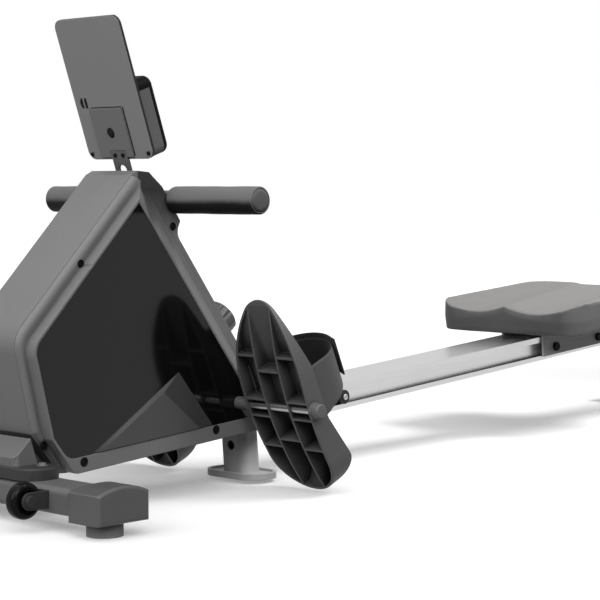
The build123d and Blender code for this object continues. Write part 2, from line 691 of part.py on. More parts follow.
def panel_facet(face_y):
    """Three-sided raised facet on the panel's face, its top leaning down to the floor."""
    def on_edge(x):
        return (x, bottom_z(x) + PANEL_STRIP + PANEL_GAP + FACET_MARGIN)

    low_y = face_y - FACET_SINK
    foot = [(x, low_y, z) for x, z in (on_edge(FACET_FRONT_X), FACET_PEAK, on_edge(FACET_REAR_X))]
    top = []
    for (x, z), height in ((on_edge(FACET_TOP_FRONT_X), FACET_LOW_HEIGHT), (FACET_TOP_PEAK, FACET_HEIGHT),
                           (on_edge(FACET_TOP_REAR_X), FACET_LOW_HEIGHT)):
        top.append((x, face_y + height, z))
    faces = [make_face(Polyline(*points, close=True)) for points in (foot, top)]
    return loft(faces, ruled=True)


def housing_form():
    """Outer form of the right half of the housing."""
    body = slab(body_face(), (0, BODY_HALF))
    front_edges = body.faces().sort_by(Axis.Y)[-1].edges().sort_by(Axis.X)[:4]
    body = fillet(front_edges, BODY_EDGE)
    side = slab(rim_face(), (0, SIDE_HALF)) - rear_wedge(0.0)
    flange = slab(flange_face(), (CORE_HALF, FLANGE_HALF))
    core = slab(core_face(), (0, CORE_HALF))
    return body + side + flange + core


def right_shell():
    """Right half of the housing, hollow, with its openings."""
    shell = housing_form()
    shell -= slab(offset(core_face(), -SHELL_WALL, kind=Kind.INTERSECTION), (0, CORE_HALF + 1))
    inner_body = slab(offset(body_face(), -BODY_WALL, kind=Kind.INTERSECTION), (0, BODY_HALF - 2 * SHELL_WALL))
    shell -= inner_body - rear_wedge(BODY_WALL)
    side_floor = SIDE_HALF - PANEL_RECESS - SHELL_WALL
    inner_side = slab(offset(rim_face(), -BODY_WALL, kind=Kind.INTERSECTION), (0, side_floor))
    shell -= inner_side - rear_wedge(BODY_WALL)
    recess = slab(panel_face(0.0), (SIDE_HALF - PANEL_RECESS, SIDE_HALF + 1)) - rear_wedge(PANEL_RIM)
    shell -= recess
    return shell - shell_openings()


def shell_openings():
    """Openings through the right shell for the beam, axle, handle, strap, knob, bracket and screws."""
    half = BEAM_HALF_WIDTH + CHEEK_THICKNESS + HINGE_SIDE_GAP
    height = BEAM_HALF_HEIGHT + 2.0
    cuts = RAIL_FRAME * block((BEAM_FRONT, FAR), (-1, half), (-2 * height, height))
    cuts += rod(HOUSING_AXLE_HOLE, AXLE_X, AXLE_Z, (0, FAR))
    cuts += rod(CLAMP_RADIUS + SEAT_CLEARANCE, HANDLE_X, HANDLE_Z, (-1, CORE_HALF))
    cuts += rod(BAR_RADIUS + SEAT_CLEARANCE, HANDLE_X, HANDLE_Z, (CORE_HALF, FAR))
    slot_z = (HANDLE_Z - STRAP_SLOT_HALF_HEIGHT, HANDLE_Z + STRAP_SLOT_HALF_HEIGHT)
    cuts += block((GUIDE_X, HANDLE_X), (-1, STRAP_SLOT_HALF_WIDTH), slot_z)
    cuts += knob_placed(Cylinder(KNOB_SHAFT_RADIUS + SHAFT_CLEARANCE, 6 * SHELL_WALL))
    bracket_half = BRACKET_WIDTH / 2 + SEAT_CLEARANCE
    bracket_x = (-BRACKET_THICKNESS - SEAT_CLEARANCE, SEAT_CLEARANCE)
    cuts += CONSOLE_FRAME * block(bracket_x, (-1, bracket_half), (-3 * BRACKET_RISE, 0))
    for x, z, face_y in SHELL_SCREWS:
        cuts += rod(SCREW_RECESS_RADIUS, x, z, (face_y - SCREW_RECESS_DEPTH, FAR))
        cuts += rod(SCREW_SHANK_RADIUS + SHAFT_CLEARANCE, x, z, (BEAM_HALF_WIDTH, face_y))
    x, z = REST_SCREW
    cuts += rod(SCREW_RECESS_RADIUS, x, z, (FLANGE_HALF - SCREW_RECESS_DEPTH, FAR))
    return cuts


def knob_placed(shape):
    """A shape modelled on the Z axis, stood on the rear slope at the knob's place."""
    foot_x = rear_x(KNOB_Z, CORE_RECESS)
    plane = Plane(origin=(foot_x, 0, KNOB_Z), x_dir=SLOPE_DOWN, z_dir=SLOPE_NORMAL)
    return plane * shape


def shell_screws():
    """Screws of both side faces and of the handle rest."""
    screws = Part()
    for x, z, face_y in SHELL_SCREWS:
        seat = face_y - SCREW_RECESS_DEPTH
        head = rod(SCREW_HEAD_RADIUS, x, z, (seat, seat + SCREW_HEAD_HEIGHT))
        screws += head + rod(SCREW_SHANK_RADIUS, x, z, (seat - SCREW_LENGTH, seat))
    x, z = REST_SCREW
    seat = FLANGE_HALF - SCREW_RECESS_DEPTH
    screws += rod(SCREW_HEAD_RADIUS, x, z, (seat, seat + SCREW_HEAD_HEIGHT))
    return both_sides(screws)


# Drive inside the housing

def side_plates():
    """Two steel plates on the beam's sides that carry the shafts."""
    plate = slab(outline(PLATE_OUTLINE), (PLATE_INNER, PLATE_OUTER))
    for x, z in ((FLYWHEEL_X, FLYWHEEL_Z), (SPOOL_X, SPOOL_Z)):
        plate -= rod(BEARING_OUTER_RADIUS + SHAFT_CLEARANCE, x, z, (0, FAR))
    plate -= rod(FOOT_AXLE_RADIUS + SHAFT_CLEARANCE, AXLE_X, AXLE_Z, (0, FAR))
    plate -= rod(GUIDE_PIN_RADIUS + SHAFT_CLEARANCE, GUIDE_X, GUIDE_Z, (0, FAR))
    plate -= rod(ARM_PIN_RADIUS + SHAFT_CLEARANCE, ARM_X, ARM_Z, (0, FAR))
    return both_sides(plate)


def shaft_bearings():
    """Bearing rings in the side plates for the flywheel axle and the spool shaft."""
    rings = Part()
    middle = (PLATE_INNER + PLATE_OUTER) / 2
    y_range = (middle - BEARING_WIDTH / 2, middle + BEARING_WIDTH / 2)
    for x, z in ((FLYWHEEL_X, FLYWHEEL_Z), (SPOOL_X, SPOOL_Z)):
        rings += ring(BEARING_OUTER_RADIUS, AXLE_RADIUS + SHAFT_CLEARANCE, x, z, y_range)
    return both_sides(rings)


def flywheel():
    """Heavy rim on a thin web."""
    half = FLYWHEEL_HALF_WIDTH
    disc = ring(FLYWHEEL_RADIUS, FLYWHEEL_RIM_INNER, FLYWHEEL_X, FLYWHEEL_Z, (-half, half))
    disc += rod(FLYWHEEL_RIM_INNER, FLYWHEEL_X, FLYWHEEL_Z, (-FLYWHEEL_WEB_HALF, FLYWHEEL_WEB_HALF))
    disc += rod(FLYWHEEL_HUB_RADIUS, FLYWHEEL_X, FLYWHEEL_Z, (-half, half))
    return disc


def flywheel_axle():
    """Axle with the small belt pulley turned on its right end."""
    axle = rod(AXLE_RADIUS, FLYWHEEL_X, FLYWHEEL_Z, (-PULLEY_INNER_Y, PULLEY_OUTER_Y))
    return axle + rod(SMALL_PULLEY_RADIUS, FLYWHEEL_X, FLYWHEEL_Z, (PULLEY_INNER_Y, PULLEY_OUTER_Y))


def drive_pulley():
    """Large belt pulley that turns on the spool shaft through a one-way clutch."""
    y_range = (PULLEY_INNER_Y, PULLEY_OUTER_Y)
    return ring(PULLEY_RADIUS, AXLE_RADIUS + SHAFT_CLEARANCE, SPOOL_X, SPOOL_Z, y_range)


def belt_loop(margin):
    """Flat face round both pulleys, margin outside their rims."""
    face = Sketch()
    small = Circle(SMALL_PULLEY_RADIUS + margin)
    large = Circle(PULLEY_RADIUS + margin)
    span = math.hypot(SPOOL_X - FLYWHEEL_X, SPOOL_Z - FLYWHEEL_Z)
    face = make_hull((small.edges() + (Pos(span, 0) * large).edges()))
    return face


def drive_belt():
    """Belt round the two pulleys."""
    run = Vector(SPOOL_X - FLYWHEEL_X, 0, SPOOL_Z - FLYWHEEL_Z)
    low = PULLEY_INNER_Y + BELT_MARGIN
    width = PULLEY_OUTER_Y - BELT_MARGIN - low
    plane = Plane(origin=(FLYWHEEL_X, low, FLYWHEEL_Z), x_dir=run, z_dir=(0, 1, 0))
    outer = extrude(plane * belt_loop(SEAT_CLEARANCE + BELT_THICKNESS), amount=width)
    return outer - extrude(plane * belt_loop(SEAT_CLEARANCE), amount=width)


def strap_spool():
    """Flanged spool with the wound strap as its core, on its own shaft."""
    core_half = SPOOL_HALF_WIDTH - SPOOL_FLANGE_WIDTH
    spool = rod(SPOOL_CORE_RADIUS, SPOOL_X, SPOOL_Z, (-core_half, core_half))
    spool += rod(SPOOL_FLANGE_RADIUS, SPOOL_X, SPOOL_Z, (core_half, SPOOL_HALF_WIDTH))
    spool += rod(SPOOL_FLANGE_RADIUS, SPOOL_X, SPOOL_Z, (-SPOOL_HALF_WIDTH, -core_half))
    return spool + rod(AXLE_RADIUS, SPOOL_X, SPOOL_Z, (-PULLEY_OUTER_Y, PULLEY_OUTER_Y))


def recoil_case():
    """Flat case of the recoil spring on the left side plate."""
    middle = (PLATE_INNER + PLATE_OUTER + BEARING_WIDTH) / 2
    y_range = (-PULLEY_OUTER_Y, -middle)
    case = ring(RECOIL_RADIUS, AXLE_RADIUS + SHAFT_CLEARANCE, SPOOL_X, SPOOL_Z, y_range)
    foot_range = (-middle, -PLATE_OUTER)
    return case + ring(RECOIL_RADIUS, BEARING_OUTER_RADIUS + SEAT_CLEARANCE, SPOOL_X, SPOOL_Z, foot_range)


def guide_roller():
    """Roller that turns the strap out to the handle, with stub pins in the side plates."""
    roller = rod(GUIDE_RADIUS, GUIDE_X, GUIDE_Z, (-GUIDE_HALF_WIDTH, GUIDE_HALF_WIDTH))
    return roller + rod(GUIDE_PIN_RADIUS, GUIDE_X, GUIDE_Z, (-PLATE_OUTER, PLATE_OUTER))


def pull_strap():
    """Strap from the spool over the guide roller to the handle's clamp."""
    low_x = SPOOL_X - SPOOL_CORE_RADIUS - SEAT_CLEARANCE
    end_x = HANDLE_X - CLAMP_RADIUS - SEAT_CLEARANCE
    sides = []
    for radius, shift in ((GUIDE_RADIUS + SEAT_CLEARANCE, 0.0), (GUIDE_RADIUS + SEAT_CLEARANCE, STRAP_THICKNESS)):
        reach = radius + shift
        top = (GUIDE_X, 0, GUIDE_Z + reach)
        front = (GUIDE_X - reach, 0, GUIDE_Z)
        corner = math.sqrt(0.5) * reach
        middle = (GUIDE_X - corner, 0, GUIDE_Z + corner)
        sides.append(((low_x - shift, 0, SPOOL_Z), front, middle, top, (end_x, 0, GUIDE_Z + reach)))
    edges = []
    for start, front, middle, top, end in sides:
        edges.append(Line(start, front))
        edges.append(ThreePointArc(front, middle, top))
        edges.append(Line(top, end))
    edges.append(Line(sides[0][0], sides[1][0]))
    edges.append(Line(sides[0][4], sides[1][4]))
    return slab(make_face(edges), (-STRAP_HALF_WIDTH, STRAP_HALF_WIDTH))


def magnet_arm():
    """Curved arm over the flywheel's rim, on stub pins in the side plates."""
    arc = arm_sector(ARM_INNER_RADIUS, ARM_OUTER_RADIUS, ARM_FROM, ARM_TO, ARM_HALF_WIDTH)
    end = math.radians(ARM_TO)
    reach = ARM_OUTER_RADIUS - (ARM_OUTER_RADIUS - ARM_INNER_RADIUS) / 2
    tip = (FLYWHEEL_X + reach * math.cos(end), FLYWHEEL_Z + reach * math.sin(end))
    run = Vector(ARM_X - tip[0], 0, ARM_Z - tip[1])
    link_plane = Plane(origin=(tip[0], -ARM_HALF_WIDTH, tip[1]), x_dir=run, z_dir=(0, 1, 0))
    link = Pos(run.length / 2, 0) * Rectangle(run.length, ARM_EYE_RADIUS)
    arm = arc + extrude(link_plane * link, amount=2 * ARM_HALF_WIDTH)
    arm += rod(ARM_EYE_RADIUS, ARM_X, ARM_Z, (-ARM_HALF_WIDTH, ARM_HALF_WIDTH))
    return arm + rod(ARM_PIN_RADIUS, ARM_X, ARM_Z, (-PLATE_OUTER, PLATE_OUTER))


def arm_sector(inner, outer, start, stop, half_width):
    """Part of a ring round the flywheel between two angles in degrees."""
    band = ring(outer, inner, FLYWHEEL_X, FLYWHEEL_Z, (-half_width, half_width))
    wedge = [(FLYWHEEL_X, FLYWHEEL_Z)]
    for angle in (start, (start + stop) / 2, stop):
        turn = math.radians(angle)
        wedge.append((FLYWHEEL_X + 2 * outer * math.cos(turn), FLYWHEEL_Z + 2 * outer * math.sin(turn)))
    return band & slab(outline(wedge), (-half_width, half_width))


def brake_magnets():
    """Magnet blocks on the inside of the arm."""
    magnets = Part()
    half_angle = math.degrees(MAGNET_LENGTH / ARM_INNER_RADIUS) / 2
    inner = ARM_INNER_RADIUS - MAGNET_THICKNESS
    for angle in MAGNET_ANGLES:
        low = angle - half_angle
        magnets += arm_sector(inner, ARM_INNER_RADIUS, low, angle + half_angle, FLYWHEEL_HALF_WIDTH)
    return magnets


def tension_knob():
    """Fluted knob on the rear slope with its shaft."""
    grip = Pos(0, 0, KNOB_BASE + KNOB_HEIGHT / 2) * Cylinder(KNOB_RADIUS, KNOB_HEIGHT)
    grip = chamfer(grip.edges().sort_by(Axis.Z)[-1], KNOB_FLUTE_RADIUS / 2)
    flute = Pos(0, 0, KNOB_BASE + KNOB_HEIGHT / 2) * Cylinder(KNOB_FLUTE_RADIUS, KNOB_HEIGHT)
    for turn in range(KNOB_FLUTES):
        angle = 360.0 * turn / KNOB_FLUTES
        grip -= Rot(0, 0, angle) * Pos(KNOB_RADIUS + KNOB_FLUTE_RADIUS / 2, 0, 0) * flute
    shaft_length = KNOB_SHAFT_LENGTH + KNOB_BASE
    shaft = Pos(0, 0, KNOB_BASE - shaft_length / 2) * Cylinder(KNOB_SHAFT_RADIUS, shaft_length)
    return knob_placed(grip + shaft)


def knob_collar():
    """Raised ring round the knob, fixed to the rear slope."""
    height = KNOB_BASE - SEAT_CLEARANCE
    collar = Pos(0, 0, height / 2) * Cylinder(COLLAR_RADIUS, height)
    collar -= Pos(0, 0, height / 2) * Cylinder(KNOB_SHAFT_RADIUS + SHAFT_CLEARANCE, height)
    return knob_placed(collar)


def tension_cable():
    """Cable along the left side plate from the knob's shaft to the brake arm."""
    y = -(PLATE_INNER - CABLE_RADIUS - SEAT_CLEARANCE)
    start_x = rear_x(KNOB_Z, CORE_RECESS) - SLOPE_NORMAL.X * CABLE_START_DEPTH
    start_z = KNOB_Z - SLOPE_NORMAL.Z * CABLE_START_DEPTH
    turn = math.radians(CABLE_END_ANGLE)
    reach = ARM_OUTER_RADIUS + CABLE_END_GAP
    end_x = FLYWHEEL_X + reach * math.cos(turn)
    end_z = FLYWHEEL_Z + reach * math.sin(turn)
    first = (start_x + CABLE_FIRST_BEND[0], y, start_z + CABLE_FIRST_BEND[1])
    last = (end_x + CABLE_LAST_BEND[0], y, end_z + CABLE_LAST_BEND[1])
    points = [(start_x, y, start_z), first, last, (end_x, y, end_z)]
    path = FilletPolyline(*points, radius=CABLE_BEND)
    section = Plane(origin=path @ 0, z_dir=path % 0) * Circle(CABLE_RADIUS)
    return sweep(section, path=path)


# Handle

def handle_bar():
    """Steel tube of the handle."""
    y_range = (-BAR_HALF_LENGTH, BAR_HALF_LENGTH)
    return ring(BAR_RADIUS, BAR_RADIUS - BAR_WALL, HANDLE_X, HANDLE_Z, y_range)


def handle_grips():
    """Foam grips with closed rounded ends."""
    grip = rod(GRIP_RADIUS, HANDLE_X, HANDLE_Z, (GRIP_INNER_Y, GRIP_OUTER_Y))
    grip = fillet(grip.edges().filter_by(GeomType.CIRCLE).sort_by(Axis.Y)[-1], GRIP_END_ROUNDING)
    bore = (GRIP_INNER_Y, BAR_HALF_LENGTH + SEAT_CLEARANCE)
    return both_sides(grip - rod(BAR_RADIUS + SHAFT_CLEARANCE, HANDLE_X, HANDLE_Z, bore))


def strap_clamp():
    """Sleeve in the middle of the handle that the strap is stitched round."""
    y_range = (-CLAMP_HALF_WIDTH, CLAMP_HALF_WIDTH)
    return ring(CLAMP_RADIUS, BAR_RADIUS + SHAFT_CLEARANCE, HANDLE_X, HANDLE_Z, y_range)


# Footplates

def pedal_profile():
    """Side view of a footplate: curved rim in front, foot surface and heel rest behind."""
    heel = (PEDAL_RIM_END, 0, PEDAL_HEEL)
    toe = (PEDAL_RIM_END, 0, PEDAL_TOE)
    middle = (PEDAL_RIM_SAG, 0, (PEDAL_TOE + PEDAL_HEEL) / 2)
    tip = (HEEL_TIP[0], 0, HEEL_TIP[1])
    bend = (HEEL_BEND[0], 0, HEEL_BEND[1])
    toe_bend = (TOE_BEND[0], 0, TOE_BEND[1])
    heel_round = (HEEL_TIP[0] - 9.0, 0, PEDAL_HEEL + 16.0)
    instep = ((HEEL_BEND[0] + TOE_BEND[0]) / 2 - INSTEP_SAG, 0, (HEEL_BEND[1] + TOE_BEND[1]) / 2)
    toe_dip = (TOE_DIP[0], 0, TOE_DIP[1])
    toe_back = (PEDAL_RIM_END + TOE_EDGE, 0, PEDAL_TOE)
    edges = [ThreePointArc(heel, middle, toe), ThreePointArc(heel, heel_round, tip), Line(tip, bend),
             ThreePointArc(bend, instep, toe_bend), ThreePointArc(toe_bend, toe_dip, toe_back), Line(toe_back, toe)]
    return make_face(edges)


def pedal_plan():
    """Front view of a footplate: round heel, gently bowed sides and an oval toe."""
    round_z = PEDAL_HEEL + PEDAL_HALF_WIDTH
    edges = []
    half = PEDAL_HALF_WIDTH - PEDAL_BOW
    edges.append(ThreePointArc((0, -half, round_z), (0, 0, PEDAL_HEEL), (0, half, round_z)))
    run = PEDAL_TOE - TOE_START
    flank = (PEDAL_HALF_WIDTH**2 + run**2 - 2 * run * TOE_RADIUS) / (2 * (PEDAL_HALF_WIDTH - TOE_RADIUS))
    turn = math.atan2(run - TOE_RADIUS, flank - PEDAL_HALF_WIDTH)
    join_y = TOE_RADIUS * math.cos(turn)
    join_z = PEDAL_TOE - TOE_RADIUS + TOE_RADIUS * math.sin(turn)
    flank_y = PEDAL_HALF_WIDTH - flank + flank * math.cos(turn / 2)
    flank_z = TOE_START + flank * math.sin(turn / 2)
    for side in (-1, 1):
        start = (0, side * half, round_z)
        widest = (0, side * PEDAL_HALF_WIDTH, TOE_START)
        middle = (0, side * (half + 0.75 * PEDAL_BOW), (round_z + TOE_START) / 2)
        edges.append(ThreePointArc(start, middle, widest))
        edges.append(ThreePointArc(widest, (0, side * flank_y, flank_z), (0, side * join_y, join_z)))
    edges.append(ThreePointArc((0, -join_y, join_z), (0, 0, PEDAL_TOE), (0, join_y, join_z)))
    return make_face(edges)


def through_pedal(face):
    """A face of the pedal's plan made thick across the footplate."""
    return Pos(-2 * PEDAL_HALF_WIDTH, 0, 0) * extrude(face, amount=4 * PEDAL_HALF_WIDTH, dir=(1, 0, 0))


def pedal_strap_loop(inner, outer, root):
    """Upright loop over the foot between two half widths, starting at root."""
    low = FOOT_STRAP_SHOULDER
    hoop = ring_z(outer, inner) & block((0, FAR), (-FAR, FAR), (-FAR, FAR))
    legs = block((root - low, 0), (inner, outer), (FOOT_STRAP_LOW, FOOT_STRAP_HIGH))
    return Pos(low, 0, 0) * (hoop + both_sides(legs))


def ring_z(outer, inner):
    """Tube along the footplate's length, as wide as the strap."""
    height = FOOT_STRAP_HIGH - FOOT_STRAP_LOW
    tube = Cylinder(outer, height) - Cylinder(inner, height)
    return Pos(0, 0, FOOT_STRAP_LOW + height / 2) * tube


def footplate():
    """Ribbed moulded footplate in its own frame, the axle along Y at its origin."""
    half = PEDAL_HALF_WIDTH
    profile = slab(pedal_profile(), (-2 * half, 2 * half))
    solid = profile & through_pedal(pedal_plan())
    inner_plan = through_pedal(offset(pedal_plan(), -PEDAL_SIDE_WALL))
    pocket = (Pos(-PEDAL_FLOOR, 0, 0) * profile) & inner_plan
    rib_half = PEDAL_RIB / 2
    ribs = both_sides(block((-FAR, FAR), (PEDAL_RIB_Y - rib_half, PEDAL_RIB_Y + rib_half), (-FAR, FAR)))
    for z in SIDE_BAY_RIBS:
        ribs += both_sides(block((-FAR, FAR), (PEDAL_RIB_Y, half), (z - rib_half, z + rib_half)))
    for z in MIDDLE_BAY_RIBS:
        ribs += block((-FAR, FAR), (-PEDAL_RIB_Y, PEDAL_RIB_Y), (z - rib_half, z + rib_half))
    plate = solid - (pocket - ribs)
    slot_inner = FOOT_STRAP_HALF_WIDTH - FOOT_STRAP_THICKNESS - STRAP_SLOT_GAP
    slot_root = FOOT_STRAP_ROOT - STRAP_SLOT_GAP
    slot = pedal_strap_loop(slot_inner, FOOT_STRAP_HALF_WIDTH + STRAP_SLOT_GAP, slot_root)
    plate -= slot
    return plate - rod(FOOT_AXLE_RADIUS + SHAFT_CLEARANCE, 0, 0, (-2 * half, 2 * half))


def foot_strap():
    """Wide strap over the foot, its ends in the footplate's slots."""
    inner = FOOT_STRAP_HALF_WIDTH - FOOT_STRAP_THICKNESS
    return pedal_strap_loop(inner, FOOT_STRAP_HALF_WIDTH, FOOT_STRAP_ROOT)


def pedal_placed(shape):
    """A shape of the footplate's frame at the right foot's place."""
    return Pos(0, PEDAL_Y, 0) * (PEDAL_FRAME * shape)


def foot_axle():
    """Axle through the housing that both footplates swing on."""
    return rod(FOOT_AXLE_RADIUS, AXLE_X, AXLE_Z, (-FOOT_AXLE_END, FOOT_AXLE_END))


def axle_fittings():
    """Spacer tubes, washers and cap nuts on the foot axle."""
    bore = FOOT_AXLE_RADIUS + SHAFT_CLEARANCE
    inner_end = PEDAL_Y - PEDAL_HALF_WIDTH - SEAT_CLEARANCE
    outer = PEDAL_Y + PEDAL_HALF_WIDTH + SEAT_CLEARANCE
    fittings = ring(SPACER_RADIUS, bore, AXLE_X, AXLE_Z, (SIDE_HALF + SEAT_CLEARANCE, inner_end))
    fittings += ring(WASHER_RADIUS, bore, AXLE_X, AXLE_Z, (outer, outer + WASHER_THICKNESS))
    cap_y = outer + WASHER_THICKNESS
    cap = rod(AXLE_CAP_RADIUS, AXLE_X, AXLE_Z, (cap_y, cap_y + AXLE_CAP_LENGTH))
    cap = fillet(cap.faces().sort_by(Axis.Y)[-1].edges(), AXLE_CAP_ROUNDING)
    fittings += cap - rod(bore, AXLE_X, AXLE_Z, (outer, FOOT_AXLE_END + SEAT_CLEARANCE))
    return both_sides(fittings)


# Console

def console_back():
    """Tall back plate with the battery pocket and cable slots."""
    plate = console_plate(CONSOLE_WIDTH, CONSOLE_HEIGHT, CONSOLE_CORNER, 0, CONSOLE_THICKNESS)
    pocket_depth = BATTERY_COVER_THICKNESS + BATTERY_GAP
    half = BATTERY_WIDTH / 2 + BATTERY_GAP
    z_range = (BATTERY_BOTTOM - BATTERY_GAP, BATTERY_BOTTOM + BATTERY_HEIGHT + BATTERY_GAP)
    plate -= block((-1, pocket_depth), (BATTERY_Y - half, BATTERY_Y + half), z_range)
    slot_z = BATTERY_BOTTOM + BATTERY_HEIGHT + CABLE_SLOT_HEIGHT
    for step in (0, 2):
        y = half + BATTERY_Y + CABLE_SLOT_WIDTH * (1 + step)
        slot = block((-1, pocket_depth), (y, y + CABLE_SLOT_WIDTH), (slot_z - CABLE_SLOT_HEIGHT, slot_z))
        plate -= slot
    return CONSOLE_FRAME * plate


def console_plate(width, height, corner, x_low, x_high):
    """Rounded plate standing in the console's frame between two depths."""
    plane = Plane(origin=(x_low, 0, height / 2), x_dir=(0, 1, 0), z_dir=(1, 0, 0))
    return extrude(plane * RectangleRounded(width, height, corner), amount=x_high - x_low)


def console_body():
    """Hollow front body on the lower half of the plate with its window and button holes."""
    near = CONSOLE_THICKNESS
    far = CONSOLE_THICKNESS + BODY_DEPTH
    body = console_plate(BODY_WIDTH, BODY_HEIGHT, CONSOLE_CORNER, near, far)
    body = fillet(body.faces().sort_by(Axis.X)[-1].edges(), CONSOLE_CORNER / 2)
    inner_width = BODY_WIDTH - 4 * BODY_SKIN
    inner_height = BODY_HEIGHT - 4 * BODY_SKIN
    hollow = console_plate(inner_width, inner_height, CONSOLE_CORNER - BODY_SKIN, near, far - 2 * BODY_SKIN)
    body -= Pos(0, 0, 2 * BODY_SKIN) * hollow
    window_z = (LENS_Z - LENS_HEIGHT / 2 - BUTTON_GAP, LENS_Z + LENS_HEIGHT / 2 + BUTTON_GAP)
    window_half = LENS_WIDTH / 2 + BUTTON_GAP
    body -= block((far - LENS_THICKNESS, far + 1), (-window_half, window_half), window_z)
    for step in (-1, 0, 1):
        body -= button_block(step, BUTTON_GAP, near, far + 1)
    return CONSOLE_FRAME * body


def button_block(step, gap, x_low, x_high):
    """Box of one button, widened by gap."""
    middle = step * BUTTON_STEP
    half = BUTTON_WIDTH / 2 + gap
    z_half = BUTTON_HEIGHT / 2 + gap
    return block((x_low, x_high), (middle - half, middle + half), (BUTTON_Z - z_half, BUTTON_Z + z_half))


def console_button(step):
    """Push button with a flange that keeps it in the body."""
    far = CONSOLE_THICKNESS + BODY_DEPTH
    skin = far - 2 * BODY_SKIN
    button = button_block(step, 0.0, skin - BUTTON_PROUD, far + BUTTON_PROUD)
    flange = button_block(step, BUTTON_PROUD, skin - BUTTON_PROUD - BUTTON_GAP, skin - BUTTON_GAP)
    return CONSOLE_FRAME * (button + flange)


def console_lens():
    """Clear display window."""
    far = CONSOLE_THICKNESS + BODY_DEPTH
    z_range = (LENS_Z - LENS_HEIGHT / 2, LENS_Z + LENS_HEIGHT / 2)
    return CONSOLE_FRAME * block((far - LENS_THICKNESS, far), (-LENS_WIDTH / 2, LENS_WIDTH / 2), z_range)


def battery_cover():
    """Raised cover in the back plate with a round thumb hole and a notch round the bracket."""
    z_range = (BATTERY_BOTTOM, BATTERY_BOTTOM + BATTERY_HEIGHT)
    x_range = (-BATTERY_PROUD, BATTERY_GAP + BATTERY_COVER_THICKNESS)
    cover = block(x_range, (BATTERY_Y - BATTERY_WIDTH / 2, BATTERY_Y + BATTERY_WIDTH / 2), z_range)
    middle = (z_range[0] + z_range[1]) / 2
    cover -= Pos(0, BATTERY_Y, middle) * Rot(0, 90, 0) * Cylinder(THUMB_RADIUS, 4 * CONSOLE_THICKNESS)
    notch = BRACKET_WIDTH / 2 + BATTERY_GAP
    cover -= block((-2 * BATTERY_PROUD, BATTERY_GAP), (-notch, notch), (0, BRACKET_RISE + BATTERY_GAP))
    return CONSOLE_FRAME * cover


def console_bracket():
    """Sheet bracket with an arched cut, standing on a foot between the side plates."""
    half = BRACKET_WIDTH / 2
    fall = (CONSOLE_Z - BRACKET_FOOT_Z) / math.cos(math.radians(CONSOLE_TILT))
    tongue = block((-BRACKET_THICKNESS, 0), (-half, half), (-fall, BRACKET_RISE))
    arch = Rot(0, 90, 0) * Cylinder(BRACKET_ARCH_RADIUS, 4 * BRACKET_THICKNESS)
    tongue -= Pos(0, 0, -fall * 0.6) * arch
    foot_x = CONSOLE_X + fall * math.sin(math.radians(CONSOLE_TILT))
    foot_y = (-PLATE_INNER + SEAT_CLEARANCE, PLATE_INNER - SEAT_CLEARANCE)
    foot_z = (BRACKET_FOOT_Z - BRACKET_THICKNESS, BRACKET_FOOT_Z)
    foot_plate = block((foot_x - half, foot_x), foot_y, foot_z)
    return CONSOLE_FRAME * tongue + foot_plate


def console_screws():
    """Two bracket screws and two corner screws on the console's back."""
    screws = Part()
    shaft = Rot(0, 90, 0) * Cylinder(CONSOLE_SCREW_RADIUS, CONSOLE_SCREW_HEIGHT)
    bracket_x = -BRACKET_THICKNESS - CONSOLE_SCREW_HEIGHT / 2
    for y in (-BRACKET_WIDTH / 4, BRACKET_WIDTH / 4):
        screws += Pos(bracket_x, y, BRACKET_RISE / 2) * shaft
    corner_y = CONSOLE_WIDTH / 2 - CONSOLE_SCREW_INSET
    for y in (-corner_y, corner_y):
        screws += Pos(-CONSOLE_SCREW_HEIGHT / 2, y, CONSOLE_SCREW_INSET) * shaft
    return CONSOLE_FRAME * screws


# Rail, fold hinge and rear support

def rail():
    """Hollow aluminium rail with a roller channel in each side."""
    half = RAIL_WIDTH / 2
    u_range = (RAIL_START, RAIL_END)
    bar = block(u_range, (-half, half), (-RAIL_HALF_HEIGHT, RAIL_HALF_HEIGHT))
    bar -= both_sides(block(u_range, (RAIL_WEB_HALF, half), (CHANNEL_BOTTOM, CHANNEL_TOP)))
    inner = RAIL_WEB_HALF - RAIL_WALL
    inner_height = RAIL_HALF_HEIGHT - RAIL_WALL
    return RAIL_FRAME * (bar - block(u_range, (-inner, inner), (-inner_height, inner_height)))


def hinge_tongue():
    """Steel insert in the rail's front end with the hinge eye."""
    width = (-TONGUE_HALF_WIDTH, TONGUE_HALF_WIDTH)
    height = RAIL_HALF_HEIGHT - RAIL_WALL - SEAT_CLEARANCE
    tongue = block((RAIL_START, TONGUE_END), width, (-height, height))
    tongue += block((PIVOT_U, RAIL_START), width, (-TONGUE_NOSE_RADIUS, TONGUE_NOSE_RADIUS))
    tongue += rod(TONGUE_NOSE_RADIUS, PIVOT_U, 0, width)
    return RAIL_FRAME * (tongue - rod(PIVOT_RADIUS + SHAFT_CLEARANCE, PIVOT_U, 0, width))


def fold_bolt():
    """Pivot bolt through cheeks and tongue, its head on the left."""
    outer = BEAM_HALF_WIDTH + CHEEK_THICKNESS
    bolt = rod(PIVOT_RADIUS, PIVOT_U, 0, (-outer, outer + FOLD_KNOB_WIDTH))
    plane = Plane(origin=(PIVOT_U, -outer - FOLD_NUT_WIDTH, 0), x_dir=(1, 0, 0), z_dir=(0, 1, 0))
    return RAIL_FRAME * (bolt + extrude(plane * RegularPolygon(NUT_RADIUS, 6), amount=FOLD_NUT_WIDTH))


